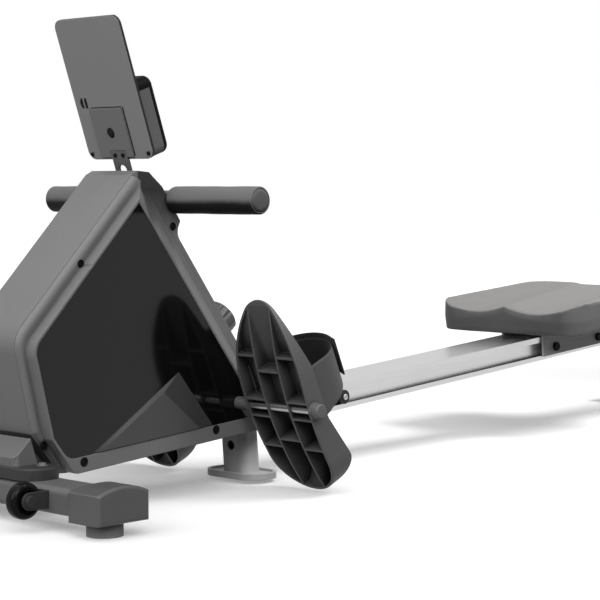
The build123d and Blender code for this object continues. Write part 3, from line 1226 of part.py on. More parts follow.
def fold_knob():
    """Lobed clamp knob on the bolt's right end."""
    inner = BEAM_HALF_WIDTH + CHEEK_THICKNESS + SEAT_CLEARANCE
    y_range = (inner, inner + FOLD_KNOB_WIDTH)
    knob = rod(FOLD_KNOB_RADIUS, PIVOT_U, 0, y_range)
    for lobe in range(FOLD_KNOB_LOBES):
        turn = 2 * math.pi * lobe / FOLD_KNOB_LOBES
        reach = FOLD_KNOB_RADIUS + KNOB_FLUTE_RADIUS / 2
        notch_u = PIVOT_U + reach * math.cos(turn)
        knob -= rod(KNOB_FLUTE_RADIUS, notch_u, reach * math.sin(turn), y_range)
    return RAIL_FRAME * (knob - rod(PIVOT_RADIUS + SHAFT_CLEARANCE, PIVOT_U, 0, y_range))


def rail_stops():
    """Rubber stops with their bolts in both channels, front and rear."""
    stops = Part()
    reach = RAIL_WIDTH / 2 + STOP_REACH
    for u in (STOP_FRONT_U, STOP_REAR_U):
        stops += rod(STOP_RADIUS, u, CHANNEL_MIDDLE, (RAIL_WEB_HALF, reach))
        stops += rod(STOP_BOLT_RADIUS, u, CHANNEL_MIDDLE, (reach, reach + BOLT_HEAD_HEIGHT / 2))
    return RAIL_FRAME * both_sides(stops)


def rail_cap():
    """Moulded cap on the rail's rear end."""
    half = RAIL_WIDTH / 2
    cap = block((RAIL_END, RAIL_END + RAIL_CAP_THICKNESS), (-half, half), (-RAIL_HALF_HEIGHT, RAIL_HALF_HEIGHT))
    return RAIL_FRAME * cap


def rear_leg():
    """Rear post from the stabilizer up to a plate under the rail."""
    half_depth = LEG_DEPTH / 2
    half_width = LEG_WIDTH / 2
    post = block((REAR_X - half_depth, REAR_X + half_depth), (-half_width, half_width), (STAB_TOP, FAR))
    inner_depth = half_depth - LEG_WALL
    inner_width = half_width - LEG_WALL
    post -= block((REAR_X - inner_depth, REAR_X + inner_depth), (-inner_width, inner_width), (STAB_TOP, FAR))
    post -= RAIL_FRAME * block((0, 2 * FAR), (-FAR, FAR), (-RAIL_HALF_HEIGHT, 2 * FAR))
    leg_u = REAR_X / math.cos(math.radians(INCLINE))
    plate_half = RAIL_WIDTH / 2 - RAIL_CAP_THICKNESS
    low = -RAIL_HALF_HEIGHT - LEG_PLATE_THICKNESS
    start = leg_u - LEG_PLATE_LENGTH / 2 - LEG_DEPTH / 4
    plate = block((start, start + LEG_PLATE_LENGTH), (-plate_half, plate_half), (low, -RAIL_HALF_HEIGHT))
    return post + RAIL_FRAME * plate


def rear_caps():
    """End caps of the rear stabilizer."""
    return both_sides(end_cap(REAR_X, REAR_CAP_INNER_Y, REAR_CAP_OUTER_Y, REAR_HALF_LENGTH))


# Seat and carriage

def seat_plan(grow):
    """Seat outline from above, moved out by grow, in the rail's frame."""
    half_length = SEAT_LENGTH / 2 + grow
    half_width = SEAT_WIDTH / 2 + grow
    middle = SEAT_U - SEAT_FORWARD
    plan = Pos(middle, 0) * RectangleRounded(2 * half_length, 2 * half_width, SEAT_FRONT_CORNER)
    tail_x = middle + half_length + TAIL_RADIUS - TAIL_DEPTH
    return plan - Pos(tail_x, 0) * Circle(TAIL_RADIUS)


def seat_cushion():
    """Moulded seat: drawn-in sides, a hollow for each thigh that runs out at the rear, a notch at the tail."""
    rise = SEAT_WAIST - SEAT_BOTTOM
    lower = extrude(Pos(0, 0, SEAT_WAIST) * seat_plan(0.0), amount=-rise, taper=SEAT_SIDE_TAPER)
    upper = extrude(Pos(0, 0, SEAT_WAIST) * seat_plan(0.0), amount=SEAT_TOP - SEAT_WAIST, taper=SEAT_SIDE_TAPER)
    seat = lower + upper
    front = SEAT_U - SEAT_FORWARD - SEAT_LENGTH / 2
    for side in (-1, 1):
        hollow = Pos(0, 0, SEAT_HOLLOW_RADIUS) * Rot(0, 90, 0) * Cylinder(SEAT_HOLLOW_RADIUS, 3 * SEAT_LENGTH)
        seat -= Pos(front, side * SEAT_HOLLOW_Y, SEAT_HOLLOW_LOW) * Rot(0, -SEAT_HOLLOW_TILT, 0) * hollow
    return RAIL_FRAME * seat


def seat_carriage():
    """Carriage that straddles the rail, with a pad under the seat."""
    start = SEAT_U - CARRIAGE_LENGTH / 2
    stop = SEAT_U + CARRIAGE_LENGTH / 2
    inner = RAIL_WIDTH / 2 + CARRIAGE_SIDE_GAP
    outer = inner + CARRIAGE_WALL
    carriage = block((start, stop), (-outer, outer), (CARRIAGE_ROOF_LOW, CARRIAGE_ROOF_HIGH))
    carriage += both_sides(block((start, stop), (inner, outer), (CARRIAGE_LOW, CARRIAGE_ROOF_HIGH)))
    pad_u = (SEAT_U - PAD_LENGTH / 2, SEAT_U + PAD_LENGTH / 2)
    carriage += block(pad_u, (-PAD_WIDTH / 2, PAD_WIDTH / 2), (CARRIAGE_ROOF_HIGH, SEAT_BOTTOM))
    for u in (SEAT_U - ROLLER_SPACING / 2, SEAT_U + ROLLER_SPACING / 2):
        carriage -= rod(ROLLER_BOLT_RADIUS + SHAFT_CLEARANCE, u, CHANNEL_MIDDLE, (-FAR, FAR))
    return RAIL_FRAME * carriage


def seat_roller(side, end):
    """Roller in the rail's channel: side -1 left or 1 right, end -1 front or 1 rear."""
    u = SEAT_U + end * ROLLER_SPACING / 2
    radius = (CHANNEL_TOP - CHANNEL_BOTTOM) / 2 - ROLLER_CLEARANCE
    y_range = (RAIL_WEB_HALF + ROLLER_INNER_GAP, RAIL_WIDTH / 2)
    roller = ring(radius, ROLLER_BOLT_RADIUS + SHAFT_CLEARANCE, u, CHANNEL_MIDDLE, y_range)
    if side < 0:
        roller = across(roller)
    return RAIL_FRAME * roller


def roller_bolts():
    """Bolts through the carriage's sides that the rollers turn on."""
    bolts = Part()
    outer = RAIL_WIDTH / 2 + CARRIAGE_SIDE_GAP + CARRIAGE_WALL
    for u in (SEAT_U - ROLLER_SPACING / 2, SEAT_U + ROLLER_SPACING / 2):
        bolt = rod(ROLLER_BOLT_RADIUS, u, CHANNEL_MIDDLE, (RAIL_WEB_HALF + ROLLER_INNER_GAP, outer))
        bolts += bolt + rod(BOLT_HEAD_RADIUS, u, CHANNEL_MIDDLE, (outer, outer + BOLT_HEAD_HEIGHT))
    return RAIL_FRAME * both_sides(bolts)


def make_parts():
    """Every piece by name, in the modelling frame."""
    cap = end_cap(STAB_X, CAP_INNER_Y, CAP_OUTER_Y, STAB_HALF_LENGTH)
    shell = right_shell()
    panel = right_panel()
    plate = pedal_placed(footplate())
    strap = pedal_placed(foot_strap())
    wheel = transport_wheel()
    parts = {
        "main_beam": main_beam(),
        "mid_post": mid_post(),
        "front_stabilizer": stabilizer_tube(STAB_X, STAB_HALF_LENGTH),
        "front_caps": both_sides(cap),
        "front_feet": both_sides(foot(STAB_X, FOOT_Y)),
        "stabilizer_saddle": stabilizer_saddle(),
        "saddle_cover": saddle_cover(),
        "wheel_brackets": both_sides(wheel_bracket()),
        "transport_wheel_left": across(wheel),
        "transport_wheel_right": wheel,
        "left_shell": across(shell),
        "right_shell": shell,
        "left_panel": across(panel),
        "right_panel": panel,
        "screws": shell_screws() + console_screws(),
        "side_plates": side_plates(),
        "shaft_bearings": shaft_bearings(),
        "flywheel": flywheel() + flywheel_axle(),
        "drive_pulley": drive_pulley(),
        "drive_belt": drive_belt(),
        "strap_spool": strap_spool(),
        "recoil_case": recoil_case(),
        "guide_roller": guide_roller(),
        "pull_strap": pull_strap(),
        "brake_arm": magnet_arm() + brake_magnets(),
        "tension_knob": tension_knob(),
        "knob_collar": knob_collar(),
        "tension_cable": tension_cable(),
        "handle_bar": handle_bar(),
        "handle_grips": handle_grips(),
        "strap_clamp": strap_clamp(),
        "footplate_left": across(plate),
        "footplate_right": plate,
        "foot_strap_left": across(strap),
        "foot_strap_right": strap,
        "foot_axle": foot_axle(),
        "axle_fittings": axle_fittings(),
        "console_back": console_back(),
        "console_body": console_body(),
        "console_lens": console_lens(),
        "battery_cover": battery_cover(),
        "console_bracket": console_bracket(),
        "rail": rail(),
        "hinge_tongue": hinge_tongue(),
        "fold_bolt": fold_bolt(),
        "fold_knob": fold_knob(),
        "rail_stops": rail_stops(),
        "rear_leg": rear_leg() + stabilizer_tube(REAR_X, REAR_HALF_LENGTH),
        "rear_caps": rear_caps() + rail_cap(),
        "rear_feet": both_sides(foot(REAR_X, REAR_FOOT_Y)),
        "seat_cushion": seat_cushion(),
        "seat_carriage": seat_carriage(),
        "roller_bolts": roller_bolts(),
    }
    for name, step in (("button_left", -1), ("button_middle", 0), ("button_right", 1)):
        parts[name] = console_button(step)
    for side_name, side in (("left", -1), ("right", 1)):
        for end_name, end in (("front", -1), ("rear", 1)):
            parts[f"roller_{end_name}_{side_name}"] = seat_roller(side, end)
    return parts


def main():
    """Write every piece to its own file, with the origin under the middle of the machine."""
    os.makedirs("parts", exist_ok=True)
    for name, shape in make_parts().items():
        export_step(Pos(-ORIGIN_X, 0, 0) * shape, f"parts/{name}.step")


main()
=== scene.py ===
# %% [markdown]
# # A folding rowing machine
# This lesson dresses a finished CAD model of a rowing machine: the hard parts come from CAD and stay where
# they are, and Blender adds the soft parts, the small details and the finishes. Everything is in metres, with
# +X to the rear of the machine, -Y to the rower's left and +Z up.

# %% Load the frame
import math

import bmesh
import bpy
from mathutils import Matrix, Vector


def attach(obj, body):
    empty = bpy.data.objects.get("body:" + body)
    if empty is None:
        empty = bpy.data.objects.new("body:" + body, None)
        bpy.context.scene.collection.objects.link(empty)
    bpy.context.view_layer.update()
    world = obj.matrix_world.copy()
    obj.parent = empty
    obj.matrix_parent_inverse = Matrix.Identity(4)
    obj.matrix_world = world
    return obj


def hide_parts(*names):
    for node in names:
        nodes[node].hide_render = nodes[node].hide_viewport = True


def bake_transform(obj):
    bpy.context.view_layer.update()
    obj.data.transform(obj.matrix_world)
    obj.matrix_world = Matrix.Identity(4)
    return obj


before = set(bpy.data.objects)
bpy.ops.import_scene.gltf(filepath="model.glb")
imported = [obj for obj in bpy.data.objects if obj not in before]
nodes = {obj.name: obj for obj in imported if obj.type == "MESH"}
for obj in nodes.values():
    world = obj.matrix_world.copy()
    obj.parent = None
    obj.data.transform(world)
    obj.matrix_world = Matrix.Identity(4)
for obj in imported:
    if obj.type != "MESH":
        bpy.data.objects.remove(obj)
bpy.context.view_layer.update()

# %% [markdown]
# ## Camera
# The picture was taken with a long lens from low down, in front of the machine and to the rower's left. A long
# lens far away keeps the rail's edges nearly parallel, so the focal length matters as much as the place.

# %% Camera
CAMERA_PLACE = Vector((-2.46096, -2.10585, 0.45898))
VIEW_ACROSS = Vector((0.7207, 0.6932, 0.0)).normalized()
PITCH_DOWN = math.radians(3.461)
FOCAL_LENGTH, SENSOR = 113.765, 36.0

view_direction = VIEW_ACROSS * math.cos(PITCH_DOWN) - Vector((0, 0, math.sin(PITCH_DOWN)))
lens = bpy.data.cameras.new("studio_camera")
lens.lens, lens.sensor_width = FOCAL_LENGTH, SENSOR
lens.clip_end = 60.0
camera = bpy.data.objects.new("studio_camera", lens)
camera.location = CAMERA_PLACE
camera.rotation_euler = (-view_direction).to_track_quat("Z", "Y").to_euler()
bpy.context.scene.collection.objects.link(camera)
bpy.context.scene.camera = camera
print("camera looks along", tuple(round(x, 3) for x in view_direction))

# %% [markdown]
# ## Shader helpers
# Materials in Blender are small graphs of nodes. A few short helpers keep the lesson readable: one adds a node and
# fills its inputs with values or with the sockets that feed them, and the others build on it for arithmetic, for
# stretching a range and for textures that lie in a piece's own coordinates.

# %% Shader helpers
def shader(tree, kind, inputs=None, **settings):
    """A new shader node with its settings; each input gets a plain value or the socket that feeds it."""
    made = tree.nodes.new("ShaderNode" + kind)
    for name, value in settings.items():
        setattr(made, name, value)
    for name, value in (inputs or {}).items():
        if isinstance(value, bpy.types.NodeSocket):
            join(tree, value, made.inputs[name])
        else:
            made.inputs[name].default_value = value
    return made


def join(tree, start, end):
    """A link from an output to an input."""
    tree.links.new(start, end)


def calc(tree, operation, *values, **settings):
    """The result of one arithmetic node; each value is a socket or a plain number."""
    return shader(tree, "Math", dict(enumerate(values)), operation=operation, **settings).outputs[0]


def ranged(tree, value, low, high, from_low=0.0, from_high=1.0, **settings):
    """The value stretched from one range to another; the limits are sockets or plain numbers."""
    inputs = {"Value": value, "From Min": from_low, "From Max": from_high, "To Min": low, "To Max": high}
    return shader(tree, "MapRange", inputs, **settings).outputs["Result"]


def mapped(tree, kind, inputs, **settings):
    """A node that reads the piece's own coordinates."""
    place = shader(tree, "TexCoord")
    return shader(tree, kind, {"Vector": place.outputs["Object"], **inputs}, **settings)


def empty_material(name):
    """A material with only its output node."""
    material = bpy.data.materials.new(name)
    material.use_nodes = True
    material.node_tree.nodes.clear()
    output = shader(material.node_tree, "OutputMaterial")
    return material, material.node_tree, output


print("shader helpers ready")

# %% [markdown]
# ## Floor and light
# A studio floor that fades to white is half light and half paint. The floor is a large disc. Rays from the camera
# see it white, with the machine's soft shadow near the middle and plain white further out, so no horizon shows.
# Reflections see a pale floor, and the light that only bounces sees a dark one, which keeps the undersides of
# the machine as deep as they are over a studio table.

# %% Floor
FLOOR_RADIUS = 24.0
FLOOR_SEGMENTS = 96
SHADOW_REACH = (0.75, 1.5)
SHADOW_LEAST, GLOW, PALE, BOUNCE = 0.23, 1.22, 0.66, 0.09
WHITE = (1.0, 1.0, 1.0, 1.0)


def floor_disc():
    """A round floor just under the feet."""
    mesh = bpy.data.meshes.new("studio_floor")
    shape = bmesh.new()
    bmesh.ops.create_circle(shape, cap_ends=True, segments=FLOOR_SEGMENTS, radius=FLOOR_RADIUS)
    shape.to_mesh(mesh)
    shape.free()
    floor = bpy.data.objects.new("studio_floor", mesh)
    bpy.context.scene.collection.objects.link(floor)
    return floor


def mixed(tree, factor, first, second):
    """Two shaders mixed by a socket."""
    return shader(tree, "MixShader", {0: factor, 1: first.outputs[0], 2: second.outputs[0]})


def reflected_ray(tree, path):
    """1 for rays from a reflection or through glass."""
    return calc(tree, "MAXIMUM", path.outputs["Is Glossy Ray"], path.outputs["Is Transmission Ray"])


def shadow_fade(tree):
    """0 near the machine, 1 far from it, measured in an oval round the rail."""
    oval = mapped(tree, "Mapping", {"Scale": (0.62, 1.0, 1.0)})
    away = shader(tree, "VectorMath", {0: oval.outputs["Vector"]}, operation="LENGTH")
    return ranged(tree, away.outputs["Value"], SHADOW_LEAST, 1.0, *SHADOW_REACH)


def floor_paint():
    """White with a shadow to the camera, pale to reflections, dark to the light that bounces."""
    material, tree, output = empty_material("studio_paper")
    lit = shader(tree, "BsdfDiffuse", {"Color": WHITE})
    glow = shader(tree, "Emission", {"Color": WHITE, "Strength": GLOW})
    pale = shader(tree, "Emission", {"Color": WHITE, "Strength": PALE})
    bounce = shader(tree, "BsdfDiffuse", {"Color": (BOUNCE, BOUNCE, BOUNCE, 1.0)})
    path = shader(tree, "LightPath")
    paper = mixed(tree, shadow_fade(tree), lit, glow)
    unseen = mixed(tree, reflected_ray(tree, path), bounce, pale)
    choice = mixed(tree, path.outputs["Is Camera Ray"], unseen, paper)
    join(tree, choice.outputs[0], output.inputs["Surface"])
    return material


floor = floor_disc()
floor.data.materials.append(floor_paint())
print("floor radius", FLOOR_RADIUS, "m")

# %% [markdown]
# The main soft box hangs high in front, a second one with a narrow beam lights the seat from the camera's side, a
# third stands low in front and a fourth beside the camera, under a dim even sky. Because the boxes are large,
# shadows are soft and the rounded edges carry long highlights, while faces that look to the rear stay dark.

# %% Light
SKY = 0.06


def soft_box(name, place, target, size, watts, spread=180.0):
    """A rectangular area light aimed at a point; spread is how wide its beam opens, in degrees."""
    light = bpy.data.lights.new(name, "AREA")
    light.shape = "RECTANGLE"
    light.size, light.size_y = size
    light.energy = watts
    light.spread = math.radians(spread)
    made = bpy.data.objects.new(name, light)
    made.location = place
    made.rotation_euler = (Vector(place) - Vector(target)).to_track_quat("Z", "Y").to_euler()
    bpy.context.scene.collection.objects.link(made)
    return made


def studio_world():
    """White where it is looked at, dim where it only lights."""
    world = bpy.data.worlds.new("studio_air")
    world.use_nodes = True
    tree = world.node_tree
    tree.nodes.clear()
    output = shader(tree, "OutputWorld")
    white, pale, dim = (shader(tree, "Background", {"Color": WHITE, "Strength": strength})
                        for strength in (1.0, PALE, SKY))
    path = shader(tree, "LightPath")
    unseen = mixed(tree, reflected_ray(tree, path), dim, pale)
    choice = mixed(tree, path.outputs["Is Camera Ray"], unseen, white)
    join(tree, choice.outputs[0], output.inputs["Surface"])
    bpy.context.scene.world = world


boxes = [
    soft_box("key_box", (-1.9, -0.5, 3.0), (-0.3, 0.0, 0.3), (3.8, 3.2), 62.0),
    soft_box("seat_box", (0.55, -1.25, 1.95), (0.5, 0.0, 0.2), (1.2, 1.2), 11.0, 60.0),
    soft_box("front_box", (-3.6, -0.3, 1.6), (-0.6, 0.0, 0.4), (2.6, 1.8), 42.0),
    soft_box("side_box", (-2.0, -2.7, 2.0), (-0.4, 0.0, 0.25), (2.2, 1.6), 46.0)]
studio_world()
bpy.context.scene.view_settings.view_transform = "Standard"
print("lights:", {box.name: box.data.energy for box in boxes})

# %% [markdown]
# ## Shared surface effects
# Six effects come back in several finishes, so each is a node group with named sockets. Moulded plastic is
# never one flat grey: the tool leaves a fine spark grain, and the melt cools unevenly, which shows as a faint
# cloud in tone and gloss. The first group makes both from noise in the piece's own coordinates.

# %% Grain group
def new_group(name, inputs, outputs):
    """An empty node group with its sockets."""
    group = bpy.data.node_groups.new(name, "ShaderNodeTree")
    for label, kind, value in inputs:
        socket = group.interface.new_socket(label, in_out="INPUT", socket_type="NodeSocket" + kind)
        socket.default_value = value
    for label, kind in outputs:
        group.interface.new_socket(label, in_out="OUTPUT", socket_type="NodeSocket" + kind)
    return group, group.nodes.new("NodeGroupInput"), group.nodes.new("NodeGroupOutput")


def grain_group():
    """Fine spark grain with a slow cloud of tone and gloss."""
    group, given, result = new_group(
        "moulded_grain",
        [("Grains per metre", "Float", 900.0), ("Cloud", "Float", 0.08)],
        [("Tone", "Float"), ("Gloss", "Float"), ("Height", "Float")])
    grains = given.outputs["Grains per metre"]
    fine = mapped(group, "TexNoise", {"Scale": grains, "Detail": 3.0, "Roughness": 0.55})
    slow = mapped(group, "TexNoise", {"Scale": 11.0, "Detail": 2.0})
    swing = calc(group, "MULTIPLY", calc(group, "SUBTRACT", slow.outputs[0], 0.5), given.outputs["Cloud"])
    speck = calc(group, "MULTIPLY_ADD", fine.outputs[0], 0.10, swing)
    join(group, calc(group, "ADD", speck, 0.95), result.inputs["Tone"])
    join(group, slow.outputs[0], result.inputs["Gloss"])
    join(group, fine.outputs[0], result.inputs["Height"])
    return group


GRAIN = grain_group()
print("group", GRAIN.name, "outputs", [s.name for s in GRAIN.interface.items_tree if s.in_out == "OUTPUT"])

# %% [markdown]
# Real edges are never razor sharp. The second group rounds the shading over each corner with the Bevel node and
# compares the rounded normal with the plain one. Where they differ there is an edge, and that mask lightens the
# colour, partly like the rubbing that handling leaves and partly as a painted highlight along the edge.

# %% Edge group
def edge_group():
    """A softened normal and a mask along the edges, for rubbing and painted highlight."""
    group, given, result = new_group(
        "edge_rub_and_highlight",
        [("Radius", "Float", 0.001), ("Amount", "Float", 0.5)],
        [("Edge", "Float"), ("Soft normal", "Vector")])
    rounded = shader(group, "Bevel", {"Radius": given.outputs["Radius"]}, samples=6)
    plain = shader(group, "NewGeometry")
    match = shader(group, "VectorMath", {0: rounded.outputs["Normal"], 1: plain.outputs["Normal"]},
                   operation="DOT_PRODUCT")
    corner = ranged(group, match.outputs["Value"], 1.0, 0.0, 0.72, 0.99)
    worn = mapped(group, "TexNoise", {"Scale": 60.0, "Detail": 2.0})
    patchy = ranged(group, worn.outputs[0], 0.4, 1.0)
    mask = calc(group, "MULTIPLY", corner, patchy)
    edge = calc(group, "MULTIPLY", mask, given.outputs["Amount"], use_clamp=True)
    join(group, edge, result.inputs["Edge"])
    join(group, rounded.outputs["Normal"], result.inputs["Soft normal"])
    return group


EDGE = edge_group()
print("group", EDGE.name)

# %% [markdown]
# The third group paints shade into deep hollows: it measures how much of the sky a point can see within a
# few centimetres, and turns that into a tone between a dark floor and the plain colour.

# %% Cavity group
def cavity_group():
    """Painted shade: a tone that falls in deep pockets."""
    group, given, result = new_group("pocket_shade", [("Reach", "Float", 0.03), ("Floor", "Float", 0.3)],
                                     [("Tone", "Float")])
    sky = shader(group, "AmbientOcclusion", {"Distance": given.outputs["Reach"]}, samples=8)
    tone = ranged(group, sky.outputs["AO"], given.outputs["Floor"], 1.0, 0.30, 0.85)
    join(group, tone, result.inputs["Tone"])
    return group


CAVITY = cavity_group()
print("group", CAVITY.name)

# %% [markdown]
# Light falls on whatever faces up and leaves the undersides in shade. The fourth group paints that: it reads how
# far the surface faces up, breaks the border with a little noise, and gives a mask that is 1 on top and 0 below,
# for painted light on top and painted shade below.

# %% Painted top light group
def top_light_group():
    """A mask of the faces that look up, for painted light on top and painted shade below."""
    group, given, result = new_group("painted_top_light", [("Low", "Float", -0.3), ("High", "Float", 0.6)],
                                     [("Lit top", "Float")])
    facing = shader(group, "NewGeometry")
    split = shader(group, "SeparateXYZ", {0: facing.outputs["Normal"]})
    patches = mapped(group, "TexNoise", {"Scale": 40.0, "Detail": 3.0})
    broken = calc(group, "ADD", split.outputs["Z"], ranged(group, patches.outputs[0], -0.08, 0.08))
    mask = ranged(group, broken, 0.0, 1.0, given.outputs["Low"], given.outputs["High"],
                  interpolation_type="SMOOTHSTEP")
    join(group, mask, result.inputs["Lit top"])
    return group


TOP_LIGHT = top_light_group()
print("group", TOP_LIGHT.name)

# %% [markdown]
# Webbing is woven: warp threads run along the strap and weft threads go over and under them. Two sine waves, one in
# the strap's own length and one in its width, multiplied with each other give that little basket.

# %% Weave group
def weave_group():
    """Over and under threads from a strap's length and width in metres."""
    group, given, result = new_group(
        "strap_weave",
        [("Threads per metre", "Float", 700.0)],
        [("Tone", "Float"), ("Height", "Float")])
    laid = shader(group, "UVMap", uv_map="strap")
    split = shader(group, "SeparateXYZ", {0: laid.outputs["UV"]})
    waves = []
    for axis in ("X", "Y"):
        count = calc(group, "MULTIPLY", split.outputs[axis], given.outputs["Threads per metre"])
        waves.append(calc(group, "SINE", calc(group, "MULTIPLY", count, math.pi)))
    basket = calc(group, "MULTIPLY", *waves)
    join(group, ranged(group, basket, 0.0, 1.0, -1.0, 1.0), result.inputs["Height"])
    join(group, ranged(group, basket, 0.82, 1.12, -1.0, 1.0), result.inputs["Tone"])
    return group


WEAVE = weave_group()
print("group", WEAVE.name)

# %% [markdown]
# Several colours change along a straight line: the painted shade over the cap on the housing, the console's black
# frame, the painted reflection on the facet of the side panels. The last group measures how far a point lies along
# a direction and gives 1 beyond the start, with a short soft border.

# %% Limit group
def limit_group():
    """A mask of what lies beyond a start along a direction; the border is half its width, in metres."""
    group, given, result = new_group(
        "past_limit",
        [("Direction", "Vector", (1.0, 0.0, 0.0)), ("Start", "Float", 0.0), ("Border", "Float", 0.0002)],
        [("Mask", "Float")])
    place = shader(group, "TexCoord")
    reach = shader(group, "VectorMath", {0: place.outputs["Object"], 1: given.outputs["Direction"]},
                   operation="DOT_PRODUCT")
    low, high = (calc(group, operation, given.outputs["Start"], given.outputs["Border"])
                 for operation in ("SUBTRACT", "ADD"))
    join(group, ranged(group, reach.outputs["Value"], 0.0, 1.0, low, high), result.inputs["Mask"])
    return group


LIMIT = limit_group()
print("group", LIMIT.name)

# %% [markdown]
# ## Finishes
# Most of the machine is moulded plastic, painted steel or rubber. They share one recipe: a base colour that the
# grain clouds, an edge lightened by rubbing and painted highlight, for some a painted shade in deep pockets, and a
# bump for the grain. What sets them apart is colour, roughness and how deep the grain is, so one function with
# plain values makes them all.

# %% Moulded and painted finishes
def placed_group(tree, group, inputs):
    """A node group placed in a material with its own values."""
    return shader(tree, "Group", inputs, node_tree=group)


def tinted(tree, colour, tone):
    """The colour multiplied by a tone that varies over the surface."""
    inputs = {0: 1.0, 6: (*colour, 1.0), 7: tone}
    return shader(tree, "Mix", inputs, data_type="RGBA", blend_type="MULTIPLY").outputs[2]


def toward(tree, start, colour, mask):
    """The start colour moved towards another one by a mask."""
    return shader(tree, "Mix", {0: mask, 6: start, 7: (*colour, 1.0)}, data_type="RGBA").outputs[2]


def bumped(tree, height, depth, normal=None):
    """A normal with small height differences, depth in metres."""
    inputs = {"Strength": 1.0, "Distance": depth, "Height": height}
    if normal is not None:
        inputs["Normal"] = normal
    return shader(tree, "Bump", inputs).outputs["Normal"]


def grey(level):
    """A neutral colour."""
    return (level, level, level)


def surfaced(tree, output, colour, roughness, normal, constants):
    """The surface shader of a finish, joined to the material's output."""
    inputs = {"Base Color": colour, "Roughness": roughness, "Normal": normal, **constants}
    join(tree, shader(tree, "BsdfPrincipled", inputs).outputs[0], output.inputs["Surface"])


def moulded(name, colour, roughness, grains=900.0, depth=0.00004, cloud=0.10, edge=0.0010, rub_and_highlight=0.35,
            shine=0.35, pockets=None, constants=None):
    """A finish for plastic, paint or rubber; shine is its highlight, rub_and_highlight lightens its edges by
    rubbing and painted highlight, pockets is the painted shade left in deep pockets.
    """
    material, tree, output = empty_material(name)
    grain = placed_group(tree, GRAIN, {"Grains per metre": grains, "Cloud": cloud})
    edges = placed_group(tree, EDGE, {"Radius": edge, "Amount": rub_and_highlight})
    tone = grain.outputs["Tone"]
    # Painted shade: the pocket group darkens the colour in deep pockets.
    if pockets is not None:
        deep = placed_group(tree, CAVITY, {"Floor": pockets})
        tone = calc(tree, "MULTIPLY", tone, deep.outputs["Tone"])
    paler = tuple(min(1.0, 0.05 + 1.7 * c) for c in colour)
    shade = toward(tree, tinted(tree, colour, tone), paler, edges.outputs["Edge"])
    gloss = ranged(tree, grain.outputs["Gloss"], roughness - 0.06, roughness + 0.06)
    normal = bumped(tree, grain.outputs["Height"], depth, edges.outputs["Soft normal"])
    surfaced(tree, output, shade, gloss, normal, {"Specular IOR Level": shine, **(constants or {})})
    return material


LENS_COAT = {"Coat Weight": 0.6, "Coat Roughness": 0.04}
# Painted highlight: the high rub_and_highlight of the caps, the cover and the footplates lightens their edges into
# highlight lines.
MOULDED = {
    "cap_plastic": (grey(0.090), 0.36, dict(edge=0.0026, rub_and_highlight=1.8, shine=0.55)),
    "saddle_dark": (grey(0.030), 0.50, dict(edge=0.0014)),
    "cover_grey": (grey(0.128), 0.46, dict(edge=0.0026, rub_and_highlight=1.6)),
    "footplate_plastic": (grey(0.098), 0.44, dict(edge=0.0013, rub_and_highlight=1.0, pockets=0.16)),
    "knob_grey": (grey(0.075), 0.30, dict(edge=0.0014, shine=0.5, pockets=0.3)),
    # Painted shade: the battery cover is painted darker than the grey back plate around it.
    "battery_shaded_grey": (grey(0.165), 0.50, dict(grains=1300.0)),
    "button_grey": (grey(0.28), 0.45, dict(edge=0.0008)),
    "frame_paint": (grey(0.130), 0.38, dict(grains=2200.0, depth=0.00002, edge=0.0012)),
    # Painted light: a much lighter copy of the frame paint for the seat carriage and the mid post, which sit in
    # shade.
    "lit_frame_paint": (grey(0.590), 0.40, dict(grains=2200.0, depth=0.00002, edge=0.0012)),
    "axle_cap": (grey(0.120), 0.36, dict(depth=0.00001, edge=0.0010)),
    "rubber_black": (grey(0.016), 0.55, dict(grains=1500.0, depth=0.00006)),
    "foot_rubber": (grey(0.250), 0.62, dict(grains=1500.0, depth=0.00006, edge=0.0016)),
    "belt_rubber": (grey(0.020), 0.65, dict(grains=1800.0)),
    "wheel_gloss": (grey(0.004), 0.16, dict(depth=0.000004, rub_and_highlight=0.06, shine=0.12)),
    "gap_black": (grey(0.003), 0.60, dict(rub_and_highlight=0.0, shine=0.15)),
    "lens": ((0.150, 0.170, 0.140), 0.12, dict(depth=0.000001, rub_and_highlight=0.05, constants=LENS_COAT)),
}
FINISHES = {name: moulded(name, colour, roughness, **more) for name, (colour, roughness, more) in MOULDED.items()}
print("moulded and painted finishes:", len(FINISHES))

# %% [markdown]
# Metals take their colour from what they reflect. Turned and drawn metal keeps fine lines from the tool: across
# the lines it scatters light, along them it does not. Noise stretched along the piece draws those lines in the
# roughness and the bump.

# %% Metal finishes
def drawn_metal(name, colour, roughness, stretch, depth):
    """Metal with fine lines; stretch gives how fast the noise runs along X, Y and Z."""
    material, tree, output = empty_material(name)
    squeeze = mapped(tree, "Mapping", {"Scale": stretch})
    lines = shader(tree, "TexNoise", {"Vector": squeeze.outputs["Vector"], "Scale": 1.0, "Detail": 4.0,
                                      "Roughness": 0.6})
    grain = placed_group(tree, GRAIN, {"Grains per metre": 500.0, "Cloud": 0.10})
    edges = placed_group(tree, EDGE, {"Radius": 0.0008, "Amount": 0.3})
    paler = tuple(min(1.0, 1.25 * c) for c in colour)
    tone = calc(tree, "MULTIPLY", grain.outputs["Tone"], ranged(tree, lines.outputs[0], 0.90, 1.10))
    shade = toward(tree, tinted(tree, colour, tone), paler, edges.outputs["Edge"])
    gloss = ranged(tree, lines.outputs[0], roughness - 0.10, roughness + 0.10)
    normal = bumped(tree, lines.outputs[0], depth, edges.outputs["Soft normal"])
    surfaced(tree, output, shade, gloss, normal, {"Metallic": 1.0})
    return material


